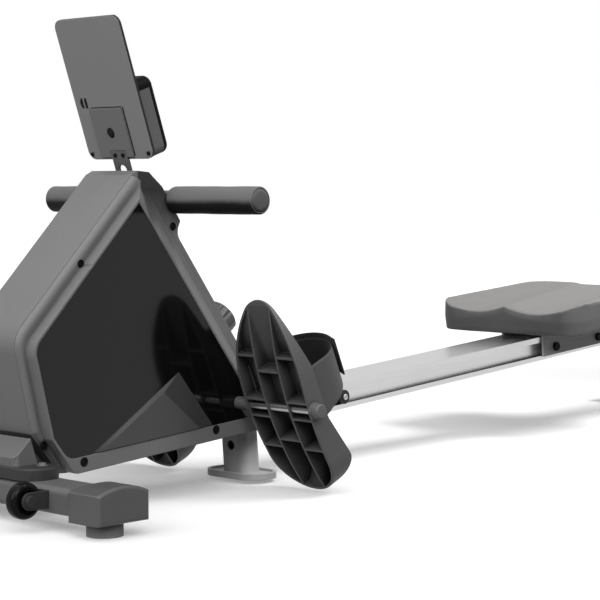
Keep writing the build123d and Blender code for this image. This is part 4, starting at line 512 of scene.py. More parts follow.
METALS = {
    "rail_aluminium": ((0.95, 0.95, 0.96), 0.34, (4.0, 900.0, 900.0), 0.00001),
    "steel": ((0.55, 0.55, 0.56), 0.32, (60.0, 900.0, 900.0), 0.00001),
    "black_steel": ((0.012, 0.012, 0.013), 0.48, (300.0, 300.0, 300.0), 0.00001),
    "cast": ((0.16, 0.16, 0.165), 0.55, (160.0, 160.0, 160.0), 0.00008),
}
FINISHES.update({name: drawn_metal(name, *values) for name, values in METALS.items()})
print("finishes:", len(FINISHES))

# %% [markdown]
# The soft finishes have no hard highlight. Foam is a sponge of tiny cells, the seat has a fine leather-like
# grain pressed into its skin, and webbing shows its weave. The foam and the seat have painted light where they
# face up and painted shade below, the foam nearly black underneath.

# %% Soft finishes
def foam_finish():
    """Closed-cell foam of the hand grips, with painted light on top and painted shade below."""
    material, tree, output = empty_material("foam")
    cells = mapped(tree, "TexVoronoi", {"Scale": 1100.0}, feature="F1")
    grain = placed_group(tree, GRAIN, {"Grains per metre": 320.0, "Cloud": 0.22})
    top_light = placed_group(tree, TOP_LIGHT, {"Low": -0.34, "High": 0.16})
    # Painted light and shade: near black below, a lighter grey on top.
    shade = toward(tree, tinted(tree, grey(0.014), grain.outputs["Tone"]), grey(0.168), top_light.outputs["Lit top"])
    gloss = ranged(tree, grain.outputs["Gloss"], 0.48, 0.60)
    normal = bumped(tree, cells.outputs["Distance"], 0.00025)
    surfaced(tree, output, shade, gloss, normal, {"Specular IOR Level": 0.08})
    return material


def seat_finish():
    """Moulded skin of the seat with a pressed grain, and painted light on the faces that look up."""
    material, tree, output = empty_material("seat_skin")
    pebbles = mapped(tree, "TexVoronoi", {"Scale": 620.0}, feature="DISTANCE_TO_EDGE")
    crease = ranged(tree, pebbles.outputs["Distance"], 0.0, 1.0, 0.0, 0.25)
    grain = placed_group(tree, GRAIN, {"Grains per metre": 240.0, "Cloud": 0.14})
    top_light = placed_group(tree, TOP_LIGHT, {"Low": 0.55, "High": 1.04})
    skin_tone = tinted(tree, grey(0.074), grain.outputs["Tone"])
    # Painted light: the faces that look up are lighter, the sides darker.
    shade = toward(tree, skin_tone, (0.162, 0.158, 0.154), top_light.outputs["Lit top"])
    gloss = ranged(tree, grain.outputs["Gloss"], 0.46, 0.60)
    surfaced(tree, output, shade, gloss, bumped(tree, crease, 0.00006), {"Specular IOR Level": 0.50})
    return material


def webbing_finish(name, colour, roughness, threads, depth):
    """Woven strap."""
    material, tree, output = empty_material(name)
    weave = placed_group(tree, WEAVE, {"Threads per metre": threads})
    grain = placed_group(tree, GRAIN, {"Grains per metre": 700.0, "Cloud": 0.16})
    tone = calc(tree, "MULTIPLY", weave.outputs["Tone"], grain.outputs["Tone"])
    gloss = ranged(tree, grain.outputs["Gloss"], roughness - 0.08, roughness + 0.08)
    normal = bumped(tree, weave.outputs["Height"], depth)
    surfaced(tree, output, tinted(tree, colour, tone), gloss, normal,
             {"Specular IOR Level": 0.3, "Sheen Weight": 0.1})
    return material


FOAM = foam_finish()
SEAT_SKIN = seat_finish()
STRAP_FACE = webbing_finish("strap_face", grey(0.078), 0.60, 900.0, 0.00010)
STRAP_LINING = webbing_finish("strap_lining", grey(0.013), 0.85, 500.0, 0.00030)
print("soft finishes:", [m.name for m in (FOAM, SEAT_SKIN, STRAP_FACE, STRAP_LINING)])

# %% [markdown]
# Each side panel is pressed with a low three-sided facet in its gloss black. The facet is rougher than the rest and
# has a lighter painted reflection of the white floor, lighter still on its top, so three straight lines in the side
# view say where it starts.

# %% Panel finish
ORIGIN_X = 400.5
FACET_CORNERS = ((-366.0, 85.6), (-203.0, 188.0), (-136.0, 104.5))
FACET_TOP = ((-351.0, 86.9), (-238.0, 161.0), (-163.0, 102.3))


def past(tree, direction, start, border=0.0002):
    """The limit group placed in a material: 1 beyond the start along the direction."""
    values = {"Direction": tuple(direction), "Start": start, "Border": border}
    return placed_group(tree, LIMIT, values).outputs["Mask"]


def inside(tree, corners):
    """1 inside a three-cornered outline in X and Z, given in millimetres of the CAD's working frame."""
    sides = []
    for k, (x, z) in enumerate(corners):
        next_x, next_z = corners[(k + 1) % 3]
        away = Vector((next_z - z, 0.0, x - next_x)).normalized()
        start = away.dot(Vector((x - ORIGIN_X, 0.0, z)) * 0.001)
        sides.append(past(tree, away, start, 0.0003))
    return calc(tree, "MULTIPLY", calc(tree, "MULTIPLY", sides[0], sides[1]), sides[2])


def retoned(material, colour, mask):
    """Moves a material's colour towards another one under a mask; gives its surface node."""
    tree = material.node_tree
    surface = next(n for n in tree.nodes if n.type == "BSDF_PRINCIPLED")
    plain_colour = surface.inputs["Base Color"].links[0].from_socket
    join(tree, toward(tree, plain_colour, colour, mask), surface.inputs["Base Color"])
    return surface


def panel_finish():
    """Gloss black with a rougher facet that carries a painted reflection of the floor."""
    material = moulded("panel_gloss", grey(0.0045), 0.10, grains=400.0, depth=0.000001, cloud=0.05, rub_and_highlight=0.10,
                       shine=0.42)
    tree = material.node_tree
    facet = inside(tree, FACET_CORNERS)
    # Painted reflection of the floor: the facet and its top take lighter colours than the gloss black.
    retoned(material, grey(0.040), facet)
    surface = retoned(material, grey(0.075), inside(tree, FACET_TOP))
    join(tree, ranged(tree, facet, 0.10, 0.42), surface.inputs["Roughness"])
    return material


FINISHES["panel_gloss"] = panel_finish()
print("panel facet corners", FACET_CORNERS)

# %% [markdown]
# The top of the handle rest, a cap over the housing's ridge, is painted near black as painted shade on the grey
# shell. Two limits mark it off: a sharp one on X, and a slow one on height because the flank gets lighter
# further down.

# %% Shell finish
CAP_FROM_X, CAP_FROM_Z = (-259.0 - ORIGIN_X) * 0.001 + 0.0004, 0.4195


def shell_finish():
    """Grey shell with painted shade over the cap of the handle rest."""
    material = moulded("shell_plastic", (0.178, 0.178, 0.179), 0.44, edge=0.0022, shine=0.4, pockets=0.30)
    tree = material.node_tree
    behind = past(tree, (1.0, 0.0, 0.0), CAP_FROM_X, 0.0004)
    above = past(tree, (0.0, 0.0, 1.0), CAP_FROM_Z, 0.033)
    # Painted shade on the cap of the handle rest.
    retoned(material, grey(0.022), calc(tree, "MULTIPLY", behind, above))
    return material


FINISHES["shell_plastic"] = shell_finish()
print("dark cap is half dark at height", CAP_FROM_Z)

# %% [markdown]
# The console's front body is grey with a black front frame that wraps over its edge and over its rounded top.
# The thin plate behind it is grey at the back with a black edge. Where the colours meet is a distance along the
# console's own depth and height, so the masks are measured from the plate's tilted face.

# %% Console body finish
CONSOLE_TILT = math.radians(19.2)
CONSOLE_FOOT = Vector((-245.0 - ORIGIN_X, 0.0, 497.0)) * 0.001
CONSOLE_OUT = Vector((math.cos(CONSOLE_TILT), 0.0, math.sin(CONSOLE_TILT)))
CONSOLE_UP = Vector((-math.sin(CONSOLE_TILT), 0.0, math.cos(CONSOLE_TILT)))
BEZEL_FROM = 0.0262
BEZEL_ABOVE = 0.0985
PLATE_FRONT = 0.0009


def beyond(tree, direction, limit):
    """1 where the surface lies further along a direction than the limit, measured from the console's foot."""
    return past(tree, direction, CONSOLE_FOOT.dot(direction) + limit)


def console_finish():
    """Grey sides, black front frame and black top on one body."""
    material = moulded("console_two_tone", grey(0.148), 0.48, grains=1300.0, shine=0.08)
    tree = material.node_tree
    frame_mask = beyond(tree, CONSOLE_OUT, BEZEL_FROM)
    retoned(material, grey(0.004), calc(tree, "MAXIMUM", frame_mask, beyond(tree, CONSOLE_UP, BEZEL_ABOVE)))
    return material


def plate_finish():
    """Grey back and black edge on the console's back plate."""
    material = moulded("console_plate", grey(0.240), 0.50, grains=1300.0)
    retoned(material, grey(0.012), beyond(material.node_tree, CONSOLE_OUT, PLATE_FRONT))
    return material


FINISHES["console_black"] = console_finish()
FINISHES["console_grey"] = plate_finish()
print("console frame starts", BEZEL_FROM, "m from the plate")

# %% [markdown]
# ## Dressing the CAD nodes
# Each CAD node arrives with one plain material that is named after its slot, so the node takes the finish of that
# name. A few nodes break the rule: the feet are a lighter rubber than the rail stops, the saddle is a darker
# plastic than the end caps, and the cap nuts on the foot axle are grey.

# %% Dress the nodes
def dress(node, finish):
    """Puts one finish on a whole CAD node."""
    slots = node.data.materials
    slots.clear()
    slots.append(finish)


FINISHES.update({"foam": FOAM, "seat_skin": SEAT_SKIN, "webbing": STRAP_FACE})
# Painted light: the seat carriage and the mid post take the lighter copy of the frame paint.
OWN_FINISH = {"front_feet": "foot_rubber", "rear_feet": "foot_rubber", "stabilizer_saddle": "saddle_dark",
              # Painted shade: the battery cover takes a darker grey than the console's back plate.
              "axle_fittings": "axle_cap", "battery_cover": "battery_shaded_grey", "seat_carriage": "lit_frame_paint",
              "mid_post": "lit_frame_paint", "wheel_brackets": "saddle_dark", "console_bracket": "axle_cap"}
worn_slots = {name: node.data.materials[0].name for name, node in nodes.items()}
for name, slot in worn_slots.items():
    dress(nodes[name], FINISHES[OWN_FINISH.get(name, slot)])
print("dressed", len(worn_slots), "nodes with", len(set(worn_slots.values())), "finishes")

# %% [markdown]
# Bare aluminium is a blurred mirror, and a mirror under a soft box shows the box as a blank white patch. A
# photographer would flag the box off that one piece with a card. Light linking does the same: the boxes above and
# in front leave out the rail, which then shows the pale room and the floor instead.

# %% Card between the boxes and the rail
card = bpy.data.collections.new("behind_the_card")
card.objects.link(nodes["rail"])
card.collection_objects[0].light_linking.link_state = "EXCLUDE"
carded = [box for box in boxes if box.name != "side_box"]
for box in carded:
    box.light_linking.receiver_collection = card
print("kept off the rail:", [box.name for box in carded])

# %% [markdown]
# ## Soft pieces
# A few helpers serve all of them. The main two turn points and faces into a piece that rides on a CAD body, and
# skin a row of rings.

# %% Mesh helpers
MM = 0.001
SIDES = ((-1, "left"), (1, "right"))


def at(x, y, z):
    """A point of the CAD's working frame, in millimetres, as a point of the scene."""
    return Vector((x - ORIGIN_X, y, z)) * MM


def spoke(degrees):
    """A direction in a plane, given by its angle."""
    turn = math.radians(degrees)
    return Vector((math.cos(turn), math.sin(turn)))


def mesh_piece(name, points, faces, body, finish):
    """A smooth piece that rides on a body."""
    mesh = bpy.data.meshes.new(name)
    mesh.from_pydata([tuple(p) for p in points], [], faces)
    mesh.update()
    mesh.shade_smooth()
    mesh.materials.append(finish)
    piece = bpy.data.objects.new(name, mesh)
    bpy.context.scene.collection.objects.link(piece)
    if body:
        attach(piece, body)
    return piece


def ring_faces(rows, count):
    """Faces between neighbouring closed rings of points."""
    faces = []
    for row in range(rows - 1):
        for k in range(count):
            a, b = row * count + k, row * count + (k + 1) % count
            faces.append((a, b, b + count, a + count))
    return faces


def skin(rings):
    """Points and faces over a row of closed rings, with both ends capped."""
    count = len(rings[0])
    last = (len(rings) - 1) * count
    caps = [tuple(reversed(range(count))), tuple(range(last, last + count))]
    return [p for ring in rings for p in ring], ring_faces(len(rings), count) + caps


print("mesh helpers ready; skin joins rings into", len(skin([[0, 1, 2, 3]] * 3)[1]), "faces for three squares")

# %% [markdown]
# ### Seat
# The seat is moulded foam under a thin skin: two hollows with a ridge between them, soft edges, and sides that
# draw in below the rim. The CAD solid has that form with sharp edges. A voxel remesh makes an even net over it,
# and a short cloth run with a little air pressure swells the skin and rounds the edges as foam does.

# %% Seat
SEAT_VOXEL = 0.0025
SEAT_SWELL = 0.0010
SEAT_SHRINK = 0.0004
SEAT_FRAMES, SEAT_PRESSURE, SKIN_STIFFNESS = 12, 4.0, 40.0


def settled(piece):
    """Applies all modifiers of a piece to its mesh."""
    graph = bpy.context.evaluated_depsgraph_get()
    mesh = bpy.data.meshes.new_from_object(piece.evaluated_get(graph))
    piece.modifiers.clear()
    piece.data = mesh


def net_over(node, name, voxel, shrink):
    """An even closed net over a CAD node, drawn in a little."""
    mesh = nodes[node].data.copy()
    mesh.name = name
    piece = bpy.data.objects.new(name, mesh)
    bpy.context.scene.collection.objects.link(piece)
    remesh = piece.modifiers.new("net", "REMESH")
    remesh.mode = "VOXEL"
    remesh.voxel_size = voxel
    smooth = piece.modifiers.new("ease", "SMOOTH")
    smooth.factor = 0.5
    smooth.iterations = 2
    settled(piece)
    normals = [v.normal.copy() for v in piece.data.vertices]
    for vertex, normal in zip(piece.data.vertices, normals):
        vertex.co -= normal * shrink
    return piece


def swollen(piece, frames, pressure, most):
    """Swells a net with cloth under pressure; no point moves more than most."""
    before = [v.co.copy() for v in piece.data.vertices]
    cloth = piece.modifiers.new("swell", "CLOTH")
    cloth.settings.use_pressure = True
    cloth.settings.uniform_pressure_force = pressure
    cloth.settings.tension_stiffness = cloth.settings.compression_stiffness = SKIN_STIFFNESS
    cloth.settings.effector_weights.gravity = 0.0
    cloth.point_cache.frame_end = frames
    scene = bpy.context.scene
    for number in range(1, frames + 1):
        scene.frame_set(number)
    settled(piece)
    scene.frame_set(1)
    moved = 0.0
    for vertex, start in zip(piece.data.vertices, before):
        step = vertex.co - start
        if step.length > most:
            vertex.co = start + step.normalized() * most
        moved = max(moved, (vertex.co - start).length)
    return moved


seat = net_over("seat_cushion", "seat_pad", SEAT_VOXEL, SEAT_SHRINK)
swell = swollen(seat, SEAT_FRAMES, SEAT_PRESSURE, SEAT_SWELL)
seat.data.materials.clear()
seat.data.materials.append(SEAT_SKIN)
seat.data.shade_smooth()
finer = seat.modifiers.new("finer", "SUBSURF")
finer.levels = finer.render_levels = 1
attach(seat, "seat")
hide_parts("seat_cushion")
print("seat points", len(seat.data.vertices), "swelled", round(swell * 1000, 2), "mm")

# %% [markdown]
# ### Hand grips
# Each grip is a foam tube pushed over the steel bar and closed by a slightly domed end with a fine groove inside
# its rim. It is turned from a profile, and a slow wave of a fifth of a millimetre keeps it from looking machined.

# %% Hand grips
HANDLE_X, HANDLE_Z = -186.8, 437.7
GRIP_RADIUS, BAR_FIT = 20.0, 14.15
GRIP_INNER, GRIP_OUTER = 51.0, 228.0
END_ROUNDING = 3.0
GRIP_SIDES = 72


def grip_profile():
    """Distance along the bar and radius, from the inner mouth to the closed end, in millimetres."""
    rows = [(GRIP_INNER + 3.0, BAR_FIT), (GRIP_INNER + 0.8, BAR_FIT + 0.4), (GRIP_INNER, BAR_FIT + 2.0),
            (GRIP_INNER + 0.3, GRIP_RADIUS - 2.0), (GRIP_INNER + 1.2, GRIP_RADIUS - 0.6),
            (GRIP_INNER + 3.0, GRIP_RADIUS)]
    straight = 36
    low, high = GRIP_INNER + 3.0, GRIP_OUTER - END_ROUNDING
    for step in range(1, straight + 1):
        rows.append((low + (high - low) * step / straight, GRIP_RADIUS))
    for step in range(1, 7):
        turn = math.pi / 2 * step / 7
        rows.append((high + (END_ROUNDING - 0.8) * math.sin(turn),
                     GRIP_RADIUS - END_ROUNDING * (1 - math.cos(turn))))
    rows += [(GRIP_OUTER - 0.9, GRIP_RADIUS - 2.9), (GRIP_OUTER - 1.9, GRIP_RADIUS - 3.3),
             (GRIP_OUTER - 0.8, GRIP_RADIUS - 3.8), (GRIP_OUTER - 0.4, GRIP_RADIUS - 4.8),
             (GRIP_OUTER - 0.15, GRIP_RADIUS - 9.0), (GRIP_OUTER - 0.05, 1.0)]
    return rows


def grip(name, side):
    """One foam grip; side is -1 for the rower's left and 1 for the right."""
    rings = []
    for along, radius in grip_profile():
        ring = []
        for k in range(GRIP_SIDES):
            turn = 2 * math.pi * k / GRIP_SIDES
            wave = 0.12 * math.sin(3 * turn + along / 17.0) + 0.10 * math.sin(along / 9.0 + side)
            reach = radius + (wave if radius > BAR_FIT + 3.0 else 0.0) - 0.1
            ring.append(at(HANDLE_X + reach * math.cos(turn), side * along,
                           HANDLE_Z + side * reach * math.sin(turn)))
        rings.append(ring)
    points, faces = skin(rings)
    piece = mesh_piece(name, points, faces[:-2] + faces[-1:], "handle", FOAM)
    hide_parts("handle_grips")
    return piece


grips = [grip("left_grip", -1), grip("right_grip", 1)]
print("grips", [len(g.data.vertices) for g in grips], "points each")

# %% [markdown]
# ### Foot straps
# A wide strap arches over each foot, with its ends in slots of the footplate. A second layer with hook-and-loop
# lies over the top and its stiff end stands off a little. Flat straps are laid as a ribbon with thickness along
# a path, which keeps their edges clean.

# %% Foot strap path
AXLE_X, AXLE_Z, PEDAL_Y = -82.65, 133.5, 167.0
PEDAL_TILT = math.radians(23.3)
STRAP_LOW, STRAP_HIGH = -22.0, 59.0
FLAP_LOW, FLAP_HIGH = 8.0, 67.0
STRAP_ROOT, STRAP_SHOULDER = 12.0, 51.0
STRAP_HALF, STRAP_THICK = 59.0, 2.2
FLAP_THICK, FLAP_GAP, HEM_THICK = 2.4, 0.5, 3.3
FLAP_FROM, FLAP_TO, FLAP_STEP = -80.0, 27.0, 2.6
RISE_FROM, RISE_OVER, BAND_RISE = 30.0, 70.0, 21.0


def pedal_point(side, out, across, along):
    """A point of the footplate's own frame: out from the plate, across it and along it towards the toe."""
    x = out * math.cos(PEDAL_TILT) - along * math.sin(PEDAL_TILT)
    z = out * math.sin(PEDAL_TILT) + along * math.cos(PEDAL_TILT)
    return at(AXLE_X + x, side * PEDAL_Y + across, AXLE_Z + z)


def arch_path(reach, start, stop, steps):
    """Points and outward directions on the strap's arch between two angles from its top, in degrees."""
    rows = []
    for step in range(steps + 1):
        outward = spoke(start + (stop - start) * step / steps)
        rows.append((Vector((STRAP_SHOULDER, 0.0)) + outward * reach, outward))
    return rows


def strap_path():
    """Up one side, over the arch and down the other."""
    reach = STRAP_HALF - STRAP_THICK / 2
    rows = []
    for step in range(8):
        low = STRAP_ROOT + (STRAP_SHOULDER - STRAP_ROOT) * step / 8
        rows.append((Vector((low, -reach)), Vector((0.0, -1.0))))
    rows += arch_path(reach, -90.0, 90.0, 56)
    for step in range(1, 9):
        low = STRAP_SHOULDER + (STRAP_ROOT - STRAP_SHOULDER) * step / 8
        rows.append((Vector((low, reach)), Vector((0.0, 1.0))))
    return rows


print("strap path points:", len(strap_path()))

# %% [markdown]
# A strap could be a thin box bent by a curve, but then its edges would shear on the arch. Here a rounded section is
# set square to the path at every point, and the rings are skinned. The outer face is woven and the inner one is
# the darker lining, with doubled hems where the band goes into the slots.

# %% Ribbon with thickness
def ribbon_section(half_width, half_thick, corner):
    """A flat rounded section: pairs of width and thickness, the outer face first."""
    rows = []
    for width, thick, turns in ((1, 1, (0, 45, 90)), (-1, 1, (90, 135, 180)), (-1, -1, (180, 225, 270)),
                                (1, -1, (270, 315, 360))):
        for turn in turns:
            angle = math.radians(turn)
            rows.append((width * (half_width - corner) + corner * math.cos(angle),
                         thick * (half_thick - corner) + corner * math.sin(angle)))
    return rows


def lay_uv(piece, path, widths):
    """A UV map of each point's place along and across the strap, in metres; gives the length in millimetres."""
    lengths = [0.0]
    for (before, _), (point, _) in zip(path, path[1:]):
        lengths.append(lengths[-1] + (point - before).length)
    layer = piece.data.uv_layers.new(name="strap")
    for loop in piece.data.loops:
        row, k = divmod(loop.vertex_index, len(widths))
        layer.data[loop.index].uv = (lengths[row] * MM, widths[k] * MM)
    return lengths[-1]


def ribbon(name, side, path, thick, edges, body):
    """A strap with thickness along a path in the footplate's frame; edges gives its two edges at a point."""
    section = ribbon_section(1.0, thick / 2, 0.3)
    rings = []
    for point, outward in path:
        low, high = edges(point.x)
        ring = []
        for width, height in section:
            place = point + outward * height
            ring.append(pedal_point(side, place.x, side * place.y, (low + high + width * (high - low)) / 2))
        rings.append(ring)
    points, faces = skin(rings)
    piece = mesh_piece(name, points, faces, body, STRAP_FACE)
    piece.data.materials.append(STRAP_LINING)
    count = len(section)
    half_width = (edges(STRAP_ROOT)[1] - edges(STRAP_ROOT)[0]) / 2
    length = lay_uv(piece, path, [width * half_width for width, _ in section])
    for face in piece.data.polygons:
        heights = [section[v % count][1] for v in face.vertices]
        face.material_index = 1 if sum(heights) < 0 and len(face.vertices) == 4 else 0
    return piece, length


def band_edges(out):
    """The band's two edges: its lower edge rises from the roots to the arch."""
    rise = min(1.0, max(0.0, (out - RISE_FROM) / RISE_OVER))
    return STRAP_LOW + BAND_RISE * rise, STRAP_HIGH


def flap_edges(out):
    """The flap's two edges, the same all along it."""
    return FLAP_LOW, FLAP_HIGH


def flap_path():
    """The hook-and-loop layer: over the top from the inner side, its stiff end straight."""
    reach = STRAP_HALF + FLAP_GAP + FLAP_THICK / 2
    rows = arch_path(reach, FLAP_FROM, FLAP_TO, 44)
    point, outward = rows[-1]
    onward = (point - rows[-2][0]).normalized()
    for step in range(1, 9):
        rows.append((point + onward * FLAP_STEP * step, outward))
    return rows


def hem_path(turn):
    """The doubled hem of the band in a slot of the footplate."""
    reach = STRAP_HALF - STRAP_THICK / 2
    return [(Vector((STRAP_ROOT + 2.0 * step, turn * reach)), Vector((0.0, turn))) for step in range(7)]


for side, word in SIDES:
    body = f"{word}_pedal"
    band, band_length = ribbon(f"{word}_foot_band", side, strap_path(), STRAP_THICK, band_edges, body)
    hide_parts(f"foot_strap_{word}")
    flap, flap_length = ribbon(f"{word}_foot_flap", side, flap_path(), FLAP_THICK, flap_edges, body)
    flap.data.materials[0] = STRAP_LINING
    for turn, place in ((-1.0, "inner"), (1.0, "outer")):
        hem, _ = ribbon(f"{word}_{place}_hem", side, hem_path(turn), HEM_THICK, band_edges, body)
    print(word, "foot strap is", round(band_length), "mm long, its flap", round(flap_length), "mm")

# %% [markdown]
# ### Pull strap
# The strap that the rower pulls comes up from a spool, over a roller inside the housing, to a sleeve on the handle.
# Only its last few centimetres show at rest. The run up to the roller stays with the housing. The run from the
# roller to the handle gets longer when the handle is pulled; here it is one piece left in place on no body.

# %% Pull strap
GUIDE_X, GUIDE_RADIUS, PULL_THICK, PULL_HALF = -236.0, 10.3, 1.5, 11.0
CLAMP_RADIUS = 16.5
SPOOL_EDGE_X, SPOOL_Z = -191.3, 195.0
GUIDE_Z = HANDLE_Z - GUIDE_RADIUS - PULL_THICK / 2


def spool_run():
    """Middle line and outward direction in X and Z, from the spool up to the top of the roller."""
    reach = GUIDE_RADIUS + PULL_THICK / 2
    start = Vector((SPOOL_EDGE_X - PULL_THICK / 2, SPOOL_Z))
    roller = Vector((GUIDE_X, GUIDE_Z))
    low = roller + Vector((-reach, 0.0))
    rise = (low - start).normalized()
    rows = [(start.lerp(low, step / 12), Vector((-rise.y, rise.x))) for step in range(12)]
    for step in range(13):
        outward = spoke(180.0 - 90.0 * step / 12)
        rows.append((roller + outward * reach, outward))
    return rows


def handle_run():
    """The same from the top of the roller out to the handle."""
    end_x = HANDLE_X - CLAMP_RADIUS - 0.3
    return [(Vector((GUIDE_X + (end_x - GUIDE_X) * step / 24, HANDLE_Z)), Vector((0.0, 1.0))) for step in range(25)]


def pull_strap(name, path):
    """A run of the woven pull strap and its length in millimetres."""
    section = ribbon_section(PULL_HALF, PULL_THICK / 2, 0.5)
    rings = [[at(point.x + outward.x * h, w, point.y + outward.y * h) for w, h in section]
             for point, outward in path]
    piece = mesh_piece(name, *skin(rings), None, STRAP_LINING)
    length = lay_uv(piece, path, [w for w, _ in section])
    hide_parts("pull_strap")
    return piece, length


wound, wound_length = pull_strap("spool_webbing", spool_run())
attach(wound, "frame")
pulled, pulled_length = pull_strap("pull_webbing", handle_run())
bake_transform(pulled)
print("pull strap:", round(wound_length), "mm to the roller,", round(pulled_length), "mm on to the handle")

# %% [markdown]
# ## Fasteners
# Screws and bolts make a machine look assembled. Each head is turned from a profile of radius and height, and a
# fine net lets the middle be pressed down where the driver goes: a cross for screws, a hexagon for bolts. Round
# the screws of the housing a black dish over the rim of each recess is painted shade of the recess.

# %% Fastener nets
HEAD_SIDES = 48
SUNK = 0.25


def cross_drive(x, y):
    """True inside a cross recess; x and y are in head radii."""
    return min(abs(x), abs(y)) < 0.14 and max(abs(x), abs(y)) < 0.60


def hex_drive(x, y):
    """True inside a hexagon socket; x and y are in head radii."""
    return max(abs(x * math.cos(a) + y * math.sin(a)) for a in (0.0, math.pi / 3, 2 * math.pi / 3)) < 0.50


def domed(radius, height):
    """Profile of a low domed head, from its foot to its middle."""
    rows = [(radius, 0.0)]
    for step in range(14, -1, -1):
        reach = max(step / 14, 0.02)
        rows.append((radius * reach * 0.985, height * (1.0 - 0.5 * reach ** 3)))
    return rows


def turned_net(centre, axis, rows, drive=None):
    """Points and faces of a turned piece at a place; a drive presses its middle down to a quarter."""
    axis = Vector(axis).normalized()
    across = axis.orthogonal().normalized()
    upward = axis.cross(across)
    points = []
    for radius, lift in rows:
        for k in range(HEAD_SIDES):
            turn = 2 * math.pi * k / HEAD_SIDES
            x, y = radius * math.cos(turn), radius * math.sin(turn)
            sunk = drive is not None and drive(x / rows[0][0], y / rows[0][0])
            points.append(centre + (across * x + upward * y + axis * lift * (SUNK if sunk else 1.0)) * MM)
    faces = ring_faces(len(rows), HEAD_SIDES)
    last = (len(rows) - 1) * HEAD_SIDES
    if rows[-1][0] < 1.0:
        faces.append(tuple(range(last, last + HEAD_SIDES)))
    return points, faces


def merged_piece(name, nets, body, finish):
    """Several nets as one piece."""
    points, faces = [], []
    for some_points, some_faces in nets:
        start = len(points)
        points += some_points
        faces += [tuple(start + i for i in face) for face in some_faces]
    mesh_piece(name, points, faces, body, finish)


print("a screw head has", len(turned_net(Vector(), (0, 0, 1), domed(4.0, 1.1), cross_drive)[1]), "faces")

# %% [markdown]
# The heads are placed in the frames of the pieces they hold: the housing's sides, the console's tilted plate and
# the sloping rail. Heads that move together are joined into one piece that rides on their body.

# %% Screws and bolts
RAIL_TILT, RAIL_DATUM = math.radians(4.68), 104.5
HOUSING_SCREWS = ((-381.8, 75.0, 75.0, 7.0), (-128.6, 96.5, 75.0, 7.0), (-369.6, 349.7, 56.0, 6.2),
                  (-436.5, 101.5, 56.0, 6.2), (-191.0, 399.0, 50.0, 6.2))
CONSOLE_SCREWS = ((1.8, 62.0, 8.5), (1.8, -62.0, 8.5), (4.8, 8.5, 7.0), (4.8, -8.5, 7.0))
SADDLE_BOLT_X, SADDLE_BOLT_Y, SADDLE_BOLT_Z = -450.0, 68.0, 77.0
SADDLE_BOLT = [(8.0, 0.0), (8.0, 0.8), (7.5, 1.1), (5.4, 1.2), (5.2, 3.4), (4.4, 4.0), (2.0, 4.2), (0.1, 4.2)]
SOCKET_LEVEL, SOCKET_HEIGHT = -1.25, 0.9
RAIL_SOCKETS = (("seat", (756.45, 888.95), 51.5, 7.6), ("rail", (183.6, 1322.0), 50.25, 4.9))


def rail_point(along, across, up):
    """A point of the sloping rail's own frame."""
    x = along * math.cos(RAIL_TILT) - up * math.sin(RAIL_TILT)
    return at(x, across, RAIL_DATUM + along * math.sin(RAIL_TILT) + up * math.cos(RAIL_TILT))


def console_point(out, across, up):
    """A point of the console's own frame: out towards the rower, across and up the plate."""
    return CONSOLE_FOOT + (CONSOLE_OUT * out + CONSOLE_UP * up + Vector((0.0, across, 0.0))) * MM


screws, recess_shades = [], []
for side in (-1, 1):
    for x, z, face, shade_radius in HOUSING_SCREWS:
        screws.append(turned_net(at(x, side * (face - 1.5), z), (0, side, 0), domed(4.0, 1.1), cross_drive))
        # Painted shade: a black dish round each housing screw.
        rim = [(shade_radius, -0.3), (shade_radius, 0.15), (shade_radius - 0.4, 0.35), (5.2, 0.3), (4.7, -0.2), (4.3, -1.6)]
        recess_shades.append(turned_net(at(x, side * face, z), (0, side, 0), rim))
for depth, across, up in CONSOLE_SCREWS:
    screws.append(turned_net(console_point(-depth, across, up), -CONSOLE_OUT, domed(2.9, 0.7), cross_drive))
merged_piece("screw_heads", screws, "frame", FINISHES["black_steel"])
merged_piece("screw_recess_shades", recess_shades, "frame", FINISHES["gap_black"])
saddle_bolts = [turned_net(at(SADDLE_BOLT_X, y, SADDLE_BOLT_Z), (0, 0, 1), SADDLE_BOLT, hex_drive)
                for y in (-SADDLE_BOLT_Y, SADDLE_BOLT_Y)]
merged_piece("saddle_bolts", saddle_bolts, "frame", FINISHES["axle_cap"])
sockets = {"seat": [], "rail": []}
for side in (-1, 1):
    for body, places, across, radius in RAIL_SOCKETS:
        for along in places:
            foot = rail_point(along, side * across, SOCKET_LEVEL)
            sockets[body].append(turned_net(foot, (0, side, 0), domed(radius, SOCKET_HEIGHT), hex_drive))
merged_piece("carriage_bolt_heads", sockets["seat"], "seat", FINISHES["gap_black"])
merged_piece("stop_bolt_heads", sockets["rail"], "rail", FINISHES["steel"])
print("screws", len(screws), "recess_shades", len(recess_shades), "bolts", len(saddle_bolts) + sum(len(n) for n in sockets.values()))

# %% [markdown]
# ### Painted channel shade
# A thin dark sheet lies on the floor of each channel as painted shade of its lower inside corner. It
# shows as the fine dark line under the bright web.

# %% Painted channel shade
SHADE_LINE_START, SHADE_LINE_END = 78.0, 1341.0
SHADE_LINE_SECTION = ((31.2, -13.3), (41.4, -13.3), (41.7, -13.15), (41.4, -13.0), (31.2, -13.0))
shade_lines = []
for side in (-1, 1):
    rings = []
    for step in range(41):
        along = SHADE_LINE_START + (SHADE_LINE_END - SHADE_LINE_START) * step / 40
        ring = [rail_point(along, side * y, v) for y, v in SHADE_LINE_SECTION]
        rings.append(ring if side > 0 else ring[::-1])
    shade_lines.append(skin(rings))
merged_piece("channel_shade_lines", shade_lines, "rail", FINISHES["belt_rubber"])
print("painted channel shade", len(shade_lines), "of", round(SHADE_LINE_END - SHADE_LINE_START), "mm")

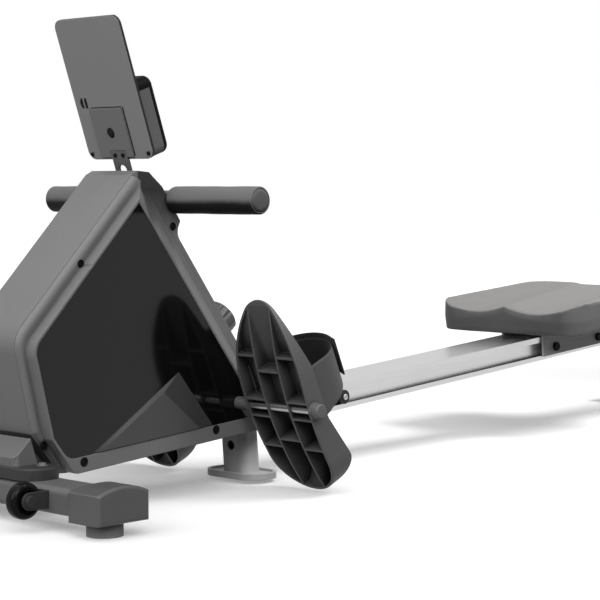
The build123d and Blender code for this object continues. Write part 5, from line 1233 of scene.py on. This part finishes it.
# %% [markdown]
# ## Small marks
# Flat marks such as display digits, button signs and dial ticks are thin prisms: an outline drawn in a plane,
# lifted by a fraction of a millimetre and drawn in a little at the top so that the edge catches light.

# %% Prisms
def prism(outline, place, low, high):
    """Points and faces of a thin prism; place turns two coordinates and a lift into a point."""
    middle = sum((Vector(p) for p in outline), Vector((0.0, 0.0))) / len(outline)
    tops = [middle + (Vector(p) - middle) * 0.95 for p in outline]
    points = [place(x, y, low) for x, y in outline] + [place(x, y, high) for x, y in tops]
    count = len(outline)
    faces = [(k, (k + 1) % count, count + (k + 1) % count, count + k) for k in range(count)]
    faces.append(tuple(range(count, 2 * count)))
    return points, faces


def round_outline(x, y, radius, sides=40):
    """A circle as an outline."""
    return [(x + radius * math.cos(2 * math.pi * k / sides), y + radius * math.sin(2 * math.pi * k / sides))
            for k in range(sides)]


def bow_outline(x, y, radius, thick):
    """An opening bracket as an outline."""
    turns = [math.radians(-52.0 + 8.0 * k) for k in range(14)]
    outer = [(x + radius * math.cos(t) - radius, y + radius * math.sin(t)) for t in turns]
    inner = [(x + (radius - thick) * math.cos(t) - radius, y + (radius - thick) * math.sin(t))
             for t in reversed(turns)]
    return outer + inner


def behind_console(across, up, lift):
    """A place on the console's back, lifted towards the front of the machine."""
    return console_point(-lift, across, up)


# Painted shade and shadow on the console's back: a dark disc deep in the thumb hole, dark fills in the two slots,
# and painted shadow lines along the battery cover's side and top edges.
marks = [prism(round_outline(5.0, 41.0, 8.1), behind_console, -2.7, 3.3),
         prism([(43.6, 78.5), (49.2, 78.5), (49.2, 93.5), (43.6, 93.5)], behind_console, -0.3, 0.1),
         prism(bow_outline(59.2, 86.0, 9.5, 5.6), behind_console, -0.3, 0.1),
         prism([(-32.6, 4.0), (-30.3, 4.0), (-30.3, 79.6), (-32.6, 79.6)], behind_console, -0.3, 0.1),
         prism([(-30.3, 78.2), (40.2, 78.2), (40.2, 79.6), (-30.3, 79.6)], behind_console, -0.3, 0.1)]
merged_piece("console_painted_shade", marks, "frame", FINISHES["gap_black"])
print("dark openings on the console's back:", len(marks))

# %% [markdown]
# ### Display and buttons
# A cheap display builds each digit from seven bars, so a small table says which bars are lit. The signs on the
# buttons are plain shapes, and each one rides on its button so that it sinks when the button is pressed.

# %% Display digits and button signs
SEGMENTS = {"0": "abcdef", "1": "bc", "2": "abdeg", "3": "abcdg", "4": "bcfg", "5": "acdfg", "6": "acdefg",
            "7": "abc", "8": "abcdefg", "9": "abcdfg"}
CONSOLE_DEPTH = 36.0
INK = moulded("display_ink", grey(0.012), 0.45, depth=0.000001, rub_and_highlight=0.0)
SIGN = moulded("button_sign", grey(0.70), 0.45, depth=0.000001, rub_and_highlight=0.0)


def segment(name, x, y, width, height, stroke):
    """One bar of a seven-bar digit as a six-cornered outline."""
    half, gap = stroke / 2, 0.35 * stroke
    levels = {"a": height, "g": height / 2, "d": 0.0}
    if name in levels:
        low, high, level = x + gap, x + width - gap, y + levels[name]
        return [(low, level), (low + half, level - half), (high - half, level - half), (high, level),
                (high - half, level + half), (low + half, level + half)]
    across = x + (width if name in "bc" else 0.0)
    low = y + gap + (height / 2 if name in "bf" else 0.0)
    high = y - gap + (height if name in "bf" else height / 2)
    return [(across, low), (across + half, low + half), (across + half, high - half), (across, high),
            (across - half, high - half), (across - half, low + half)]


def digits(text, x, y, width, height, stroke):
    """Outlines of a row of seven-bar digits."""
    outlines = []
    for sign in text:
        if sign == ":":
            outlines += [round_outline(x + stroke / 2, y + height * share, stroke / 2, 12) for share in (0.3, 0.7)]
            x += 2.4 * stroke
            continue
        outlines += [segment(name, x, y, width, height, stroke) for name in SEGMENTS[sign]]
        x += width + 1.9 * stroke
    return outlines


def before_console(across, up, lift):
    """A place on the console's front, lifted towards the rower."""
    return console_point(CONSOLE_DEPTH + lift, across, up)


rows = digits("12:45", -38.0, 70.0, 11.0, 20.0, 2.6) + digits("0862", -38.0, 53.0, 6.0, 10.0, 1.5)
rows += digits("24", 14.0, 53.0, 6.0, 10.0, 1.5)
merged_piece("display_digits", [prism(o, before_console, -0.1, 0.12) for o in rows], "frame", INK)
signs = {"left": [(-39.0, 22.5), (-32.0, 26.0), (-39.0, 29.5)],
         "middle": [(-3.0, 23.0), (3.0, 23.0), (3.0, 29.0), (-3.0, 29.0)],
         "right": round_outline(36.0, 26.0, 3.3)}
for word, outline in signs.items():
    merged_piece(f"sign_{word}", [prism(outline, before_console, 1.9, 2.2)], f"button_{word}", SIGN)
print("display bars", len(rows), "button signs", len(signs))

# %% [markdown]
# ### Dial
# The knob sets the brake. Turning it to the left brings the magnets closer to the flywheel, so the numbers rise
# that way round. Ticks and numbers stay on the housing, and the pointer turns with the knob.

# %% Dial of the tension knob
KNOB_FOOT = at(-76.75, 0.0, 237.0)
KNOB_LEAN = math.radians(53.4)
KNOB_AXIS = Vector((math.sin(KNOB_LEAN), 0.0, math.cos(KNOB_LEAN)))
KNOB_DOWN = Vector((math.cos(KNOB_LEAN), 0.0, -math.sin(KNOB_LEAN)))
DIAL_START, DIAL_SWEEP, DIAL_STEPS = 45.0, 270.0, 8
TICK_LONG, TICK_SHORT, TICK_OUTER, TICK_LIFT = (29.2, 0.45), (30.4, 0.28), 32.3, (5.6, 5.9)
NUMBER_REACH, NUMBER_LIFT, NUMBER_SIZE, NUMBER_DEPTH = 38.5, 0.06, 0.0062, 0.00008
POINTER, POINTER_LIFT = (8.0, 23.5, 1.3), (39.9, 40.6)


def on_dial(x, y, lift):
    """A place in the plane of the rear slope round the knob: x down the slope, y to the right."""
    return KNOB_FOOT + (KNOB_DOWN * x + Vector((0.0, y, 0.0)) + KNOB_AXIS * lift) * MM


def tick(turn, low, high, half):
    """A radial bar as an outline; the turn is in degrees."""
    out = spoke(turn)
    side = Vector((-out.y, out.x)) * half
    return [tuple(out * low - side), tuple(out * high - side), tuple(out * high + side), tuple(out * low + side)]


def numeral(text, turn):
    """A printed number outside the collar, upright for someone on the seat."""
    curve = bpy.data.curves.new("numeral", "FONT")
    curve.body, curve.size, curve.extrude = text, NUMBER_SIZE, NUMBER_DEPTH
    curve.align_x, curve.align_y = "CENTER", "CENTER"
    holder = bpy.data.objects.new("numeral", curve)
    bpy.context.scene.collection.objects.link(holder)
    mesh = bpy.data.meshes.new_from_object(holder.evaluated_get(bpy.context.evaluated_depsgraph_get()))
    bpy.data.objects.remove(holder)
    reach = spoke(turn) * NUMBER_REACH
    middle = on_dial(reach.x, reach.y, NUMBER_LIFT)
    points = [middle + Vector((0.0, v.co.x, 0.0)) - KNOB_DOWN * v.co.y + KNOB_AXIS * v.co.z for v in mesh.vertices]
    return points, [tuple(f.vertices) for f in mesh.polygons]


ticks, numbers = [], []
for step in range(4 * (DIAL_STEPS - 1) + 1):
    turn = DIAL_START + DIAL_SWEEP * step / (4 * (DIAL_STEPS - 1))
    long_mark = step % 4 == 0
    inner, half = TICK_LONG if long_mark else TICK_SHORT
    ticks.append(prism(tick(turn, inner, TICK_OUTER, half), on_dial, *TICK_LIFT))
    if long_mark:
        numbers.append(numeral(str(1 + step // 4), turn))
merged_piece("dial_ticks", ticks, "frame", SIGN)
merged_piece("dial_numbers", numbers, "frame", SIGN)
pointer = prism(tick(DIAL_START, *POINTER), on_dial, *POINTER_LIFT)
merged_piece("knob_pointer", [pointer], "tension_knob", SIGN)
print("dial ticks", len(ticks), "numbers", len(numbers))

# %% [markdown]
# ### Sole ridges
# The face that the foot stands on has moulded ridges against slipping. They must lie on a curved sole, so each one
# is laid by casting rays down onto the CAD surface and building a half-round bar along the points that were hit.

# %% Sole ridges
RIDGE_WIDTH, RIDGE_ARCH, RIDGE_ROOT = 3.2, 1.496, 0.4
SOLE_HALF, TOE_FROM, TOE_LENGTH, LEAST_HALF = 52.0, 30.0, 128.0, 14.0
RAY_FROM = 160.0
RIDGE_PLACES = [-84.0 + 12.0 * k for k in range(20)]


def sole_hit(node, side, across, along):
    """Distance of the sole from the plate's axle line at a place, or None."""
    start, inward = pedal_point(side, RAY_FROM, across, along), pedal_point(side, 0.0, across, along)
    back = node.matrix_world.inverted()
    hit, place, _, _ = node.ray_cast(back @ start, ((back @ inward) - (back @ start)).normalized())
    return RAY_FROM - (node.matrix_world @ place - start).length / MM if hit else None


def ridge(node, side, along):
    """One ridge across the sole as a net, or None where the sole is too narrow."""
    half = SOLE_HALF * math.sqrt(max(0.0, 1.0 - (max(0.0, along - TOE_FROM) / TOE_LENGTH) ** 2))
    if half < LEAST_HALF:
        return None
    rings = []
    for step in range(17):
        across = half * (step / 8 - 1)
        out = sole_hit(node, side, across, along)
        if out is None:
            return None
        slim = math.sqrt(max(0.02, 1.0 - (abs(across) / half) ** 8))
        ring = []
        for k in range(9):
            turn = math.pi * k / 8
            ring.append(pedal_point(side, out - RIDGE_ROOT + RIDGE_ARCH * slim * math.sin(turn), across,
                                    along + RIDGE_WIDTH / 2 * slim * math.cos(turn)))
        rings.append(ring)
    return skin(rings)


for side, word in SIDES:
    nets = [ridge(nodes[f"footplate_{word}"], side, along) for along in RIDGE_PLACES]
    nets = [net for net in nets if net]
    merged_piece(f"{word}_sole_ridges", nets, f"{word}_pedal", FINISHES["footplate_plastic"])
    print(word, "sole has", len(nets), "ridges")

# %% Box helper
def plain(box):
    """A box as plain lists of numbers."""
    return [[round(float(x), 5) for x in corner] for corner in box]
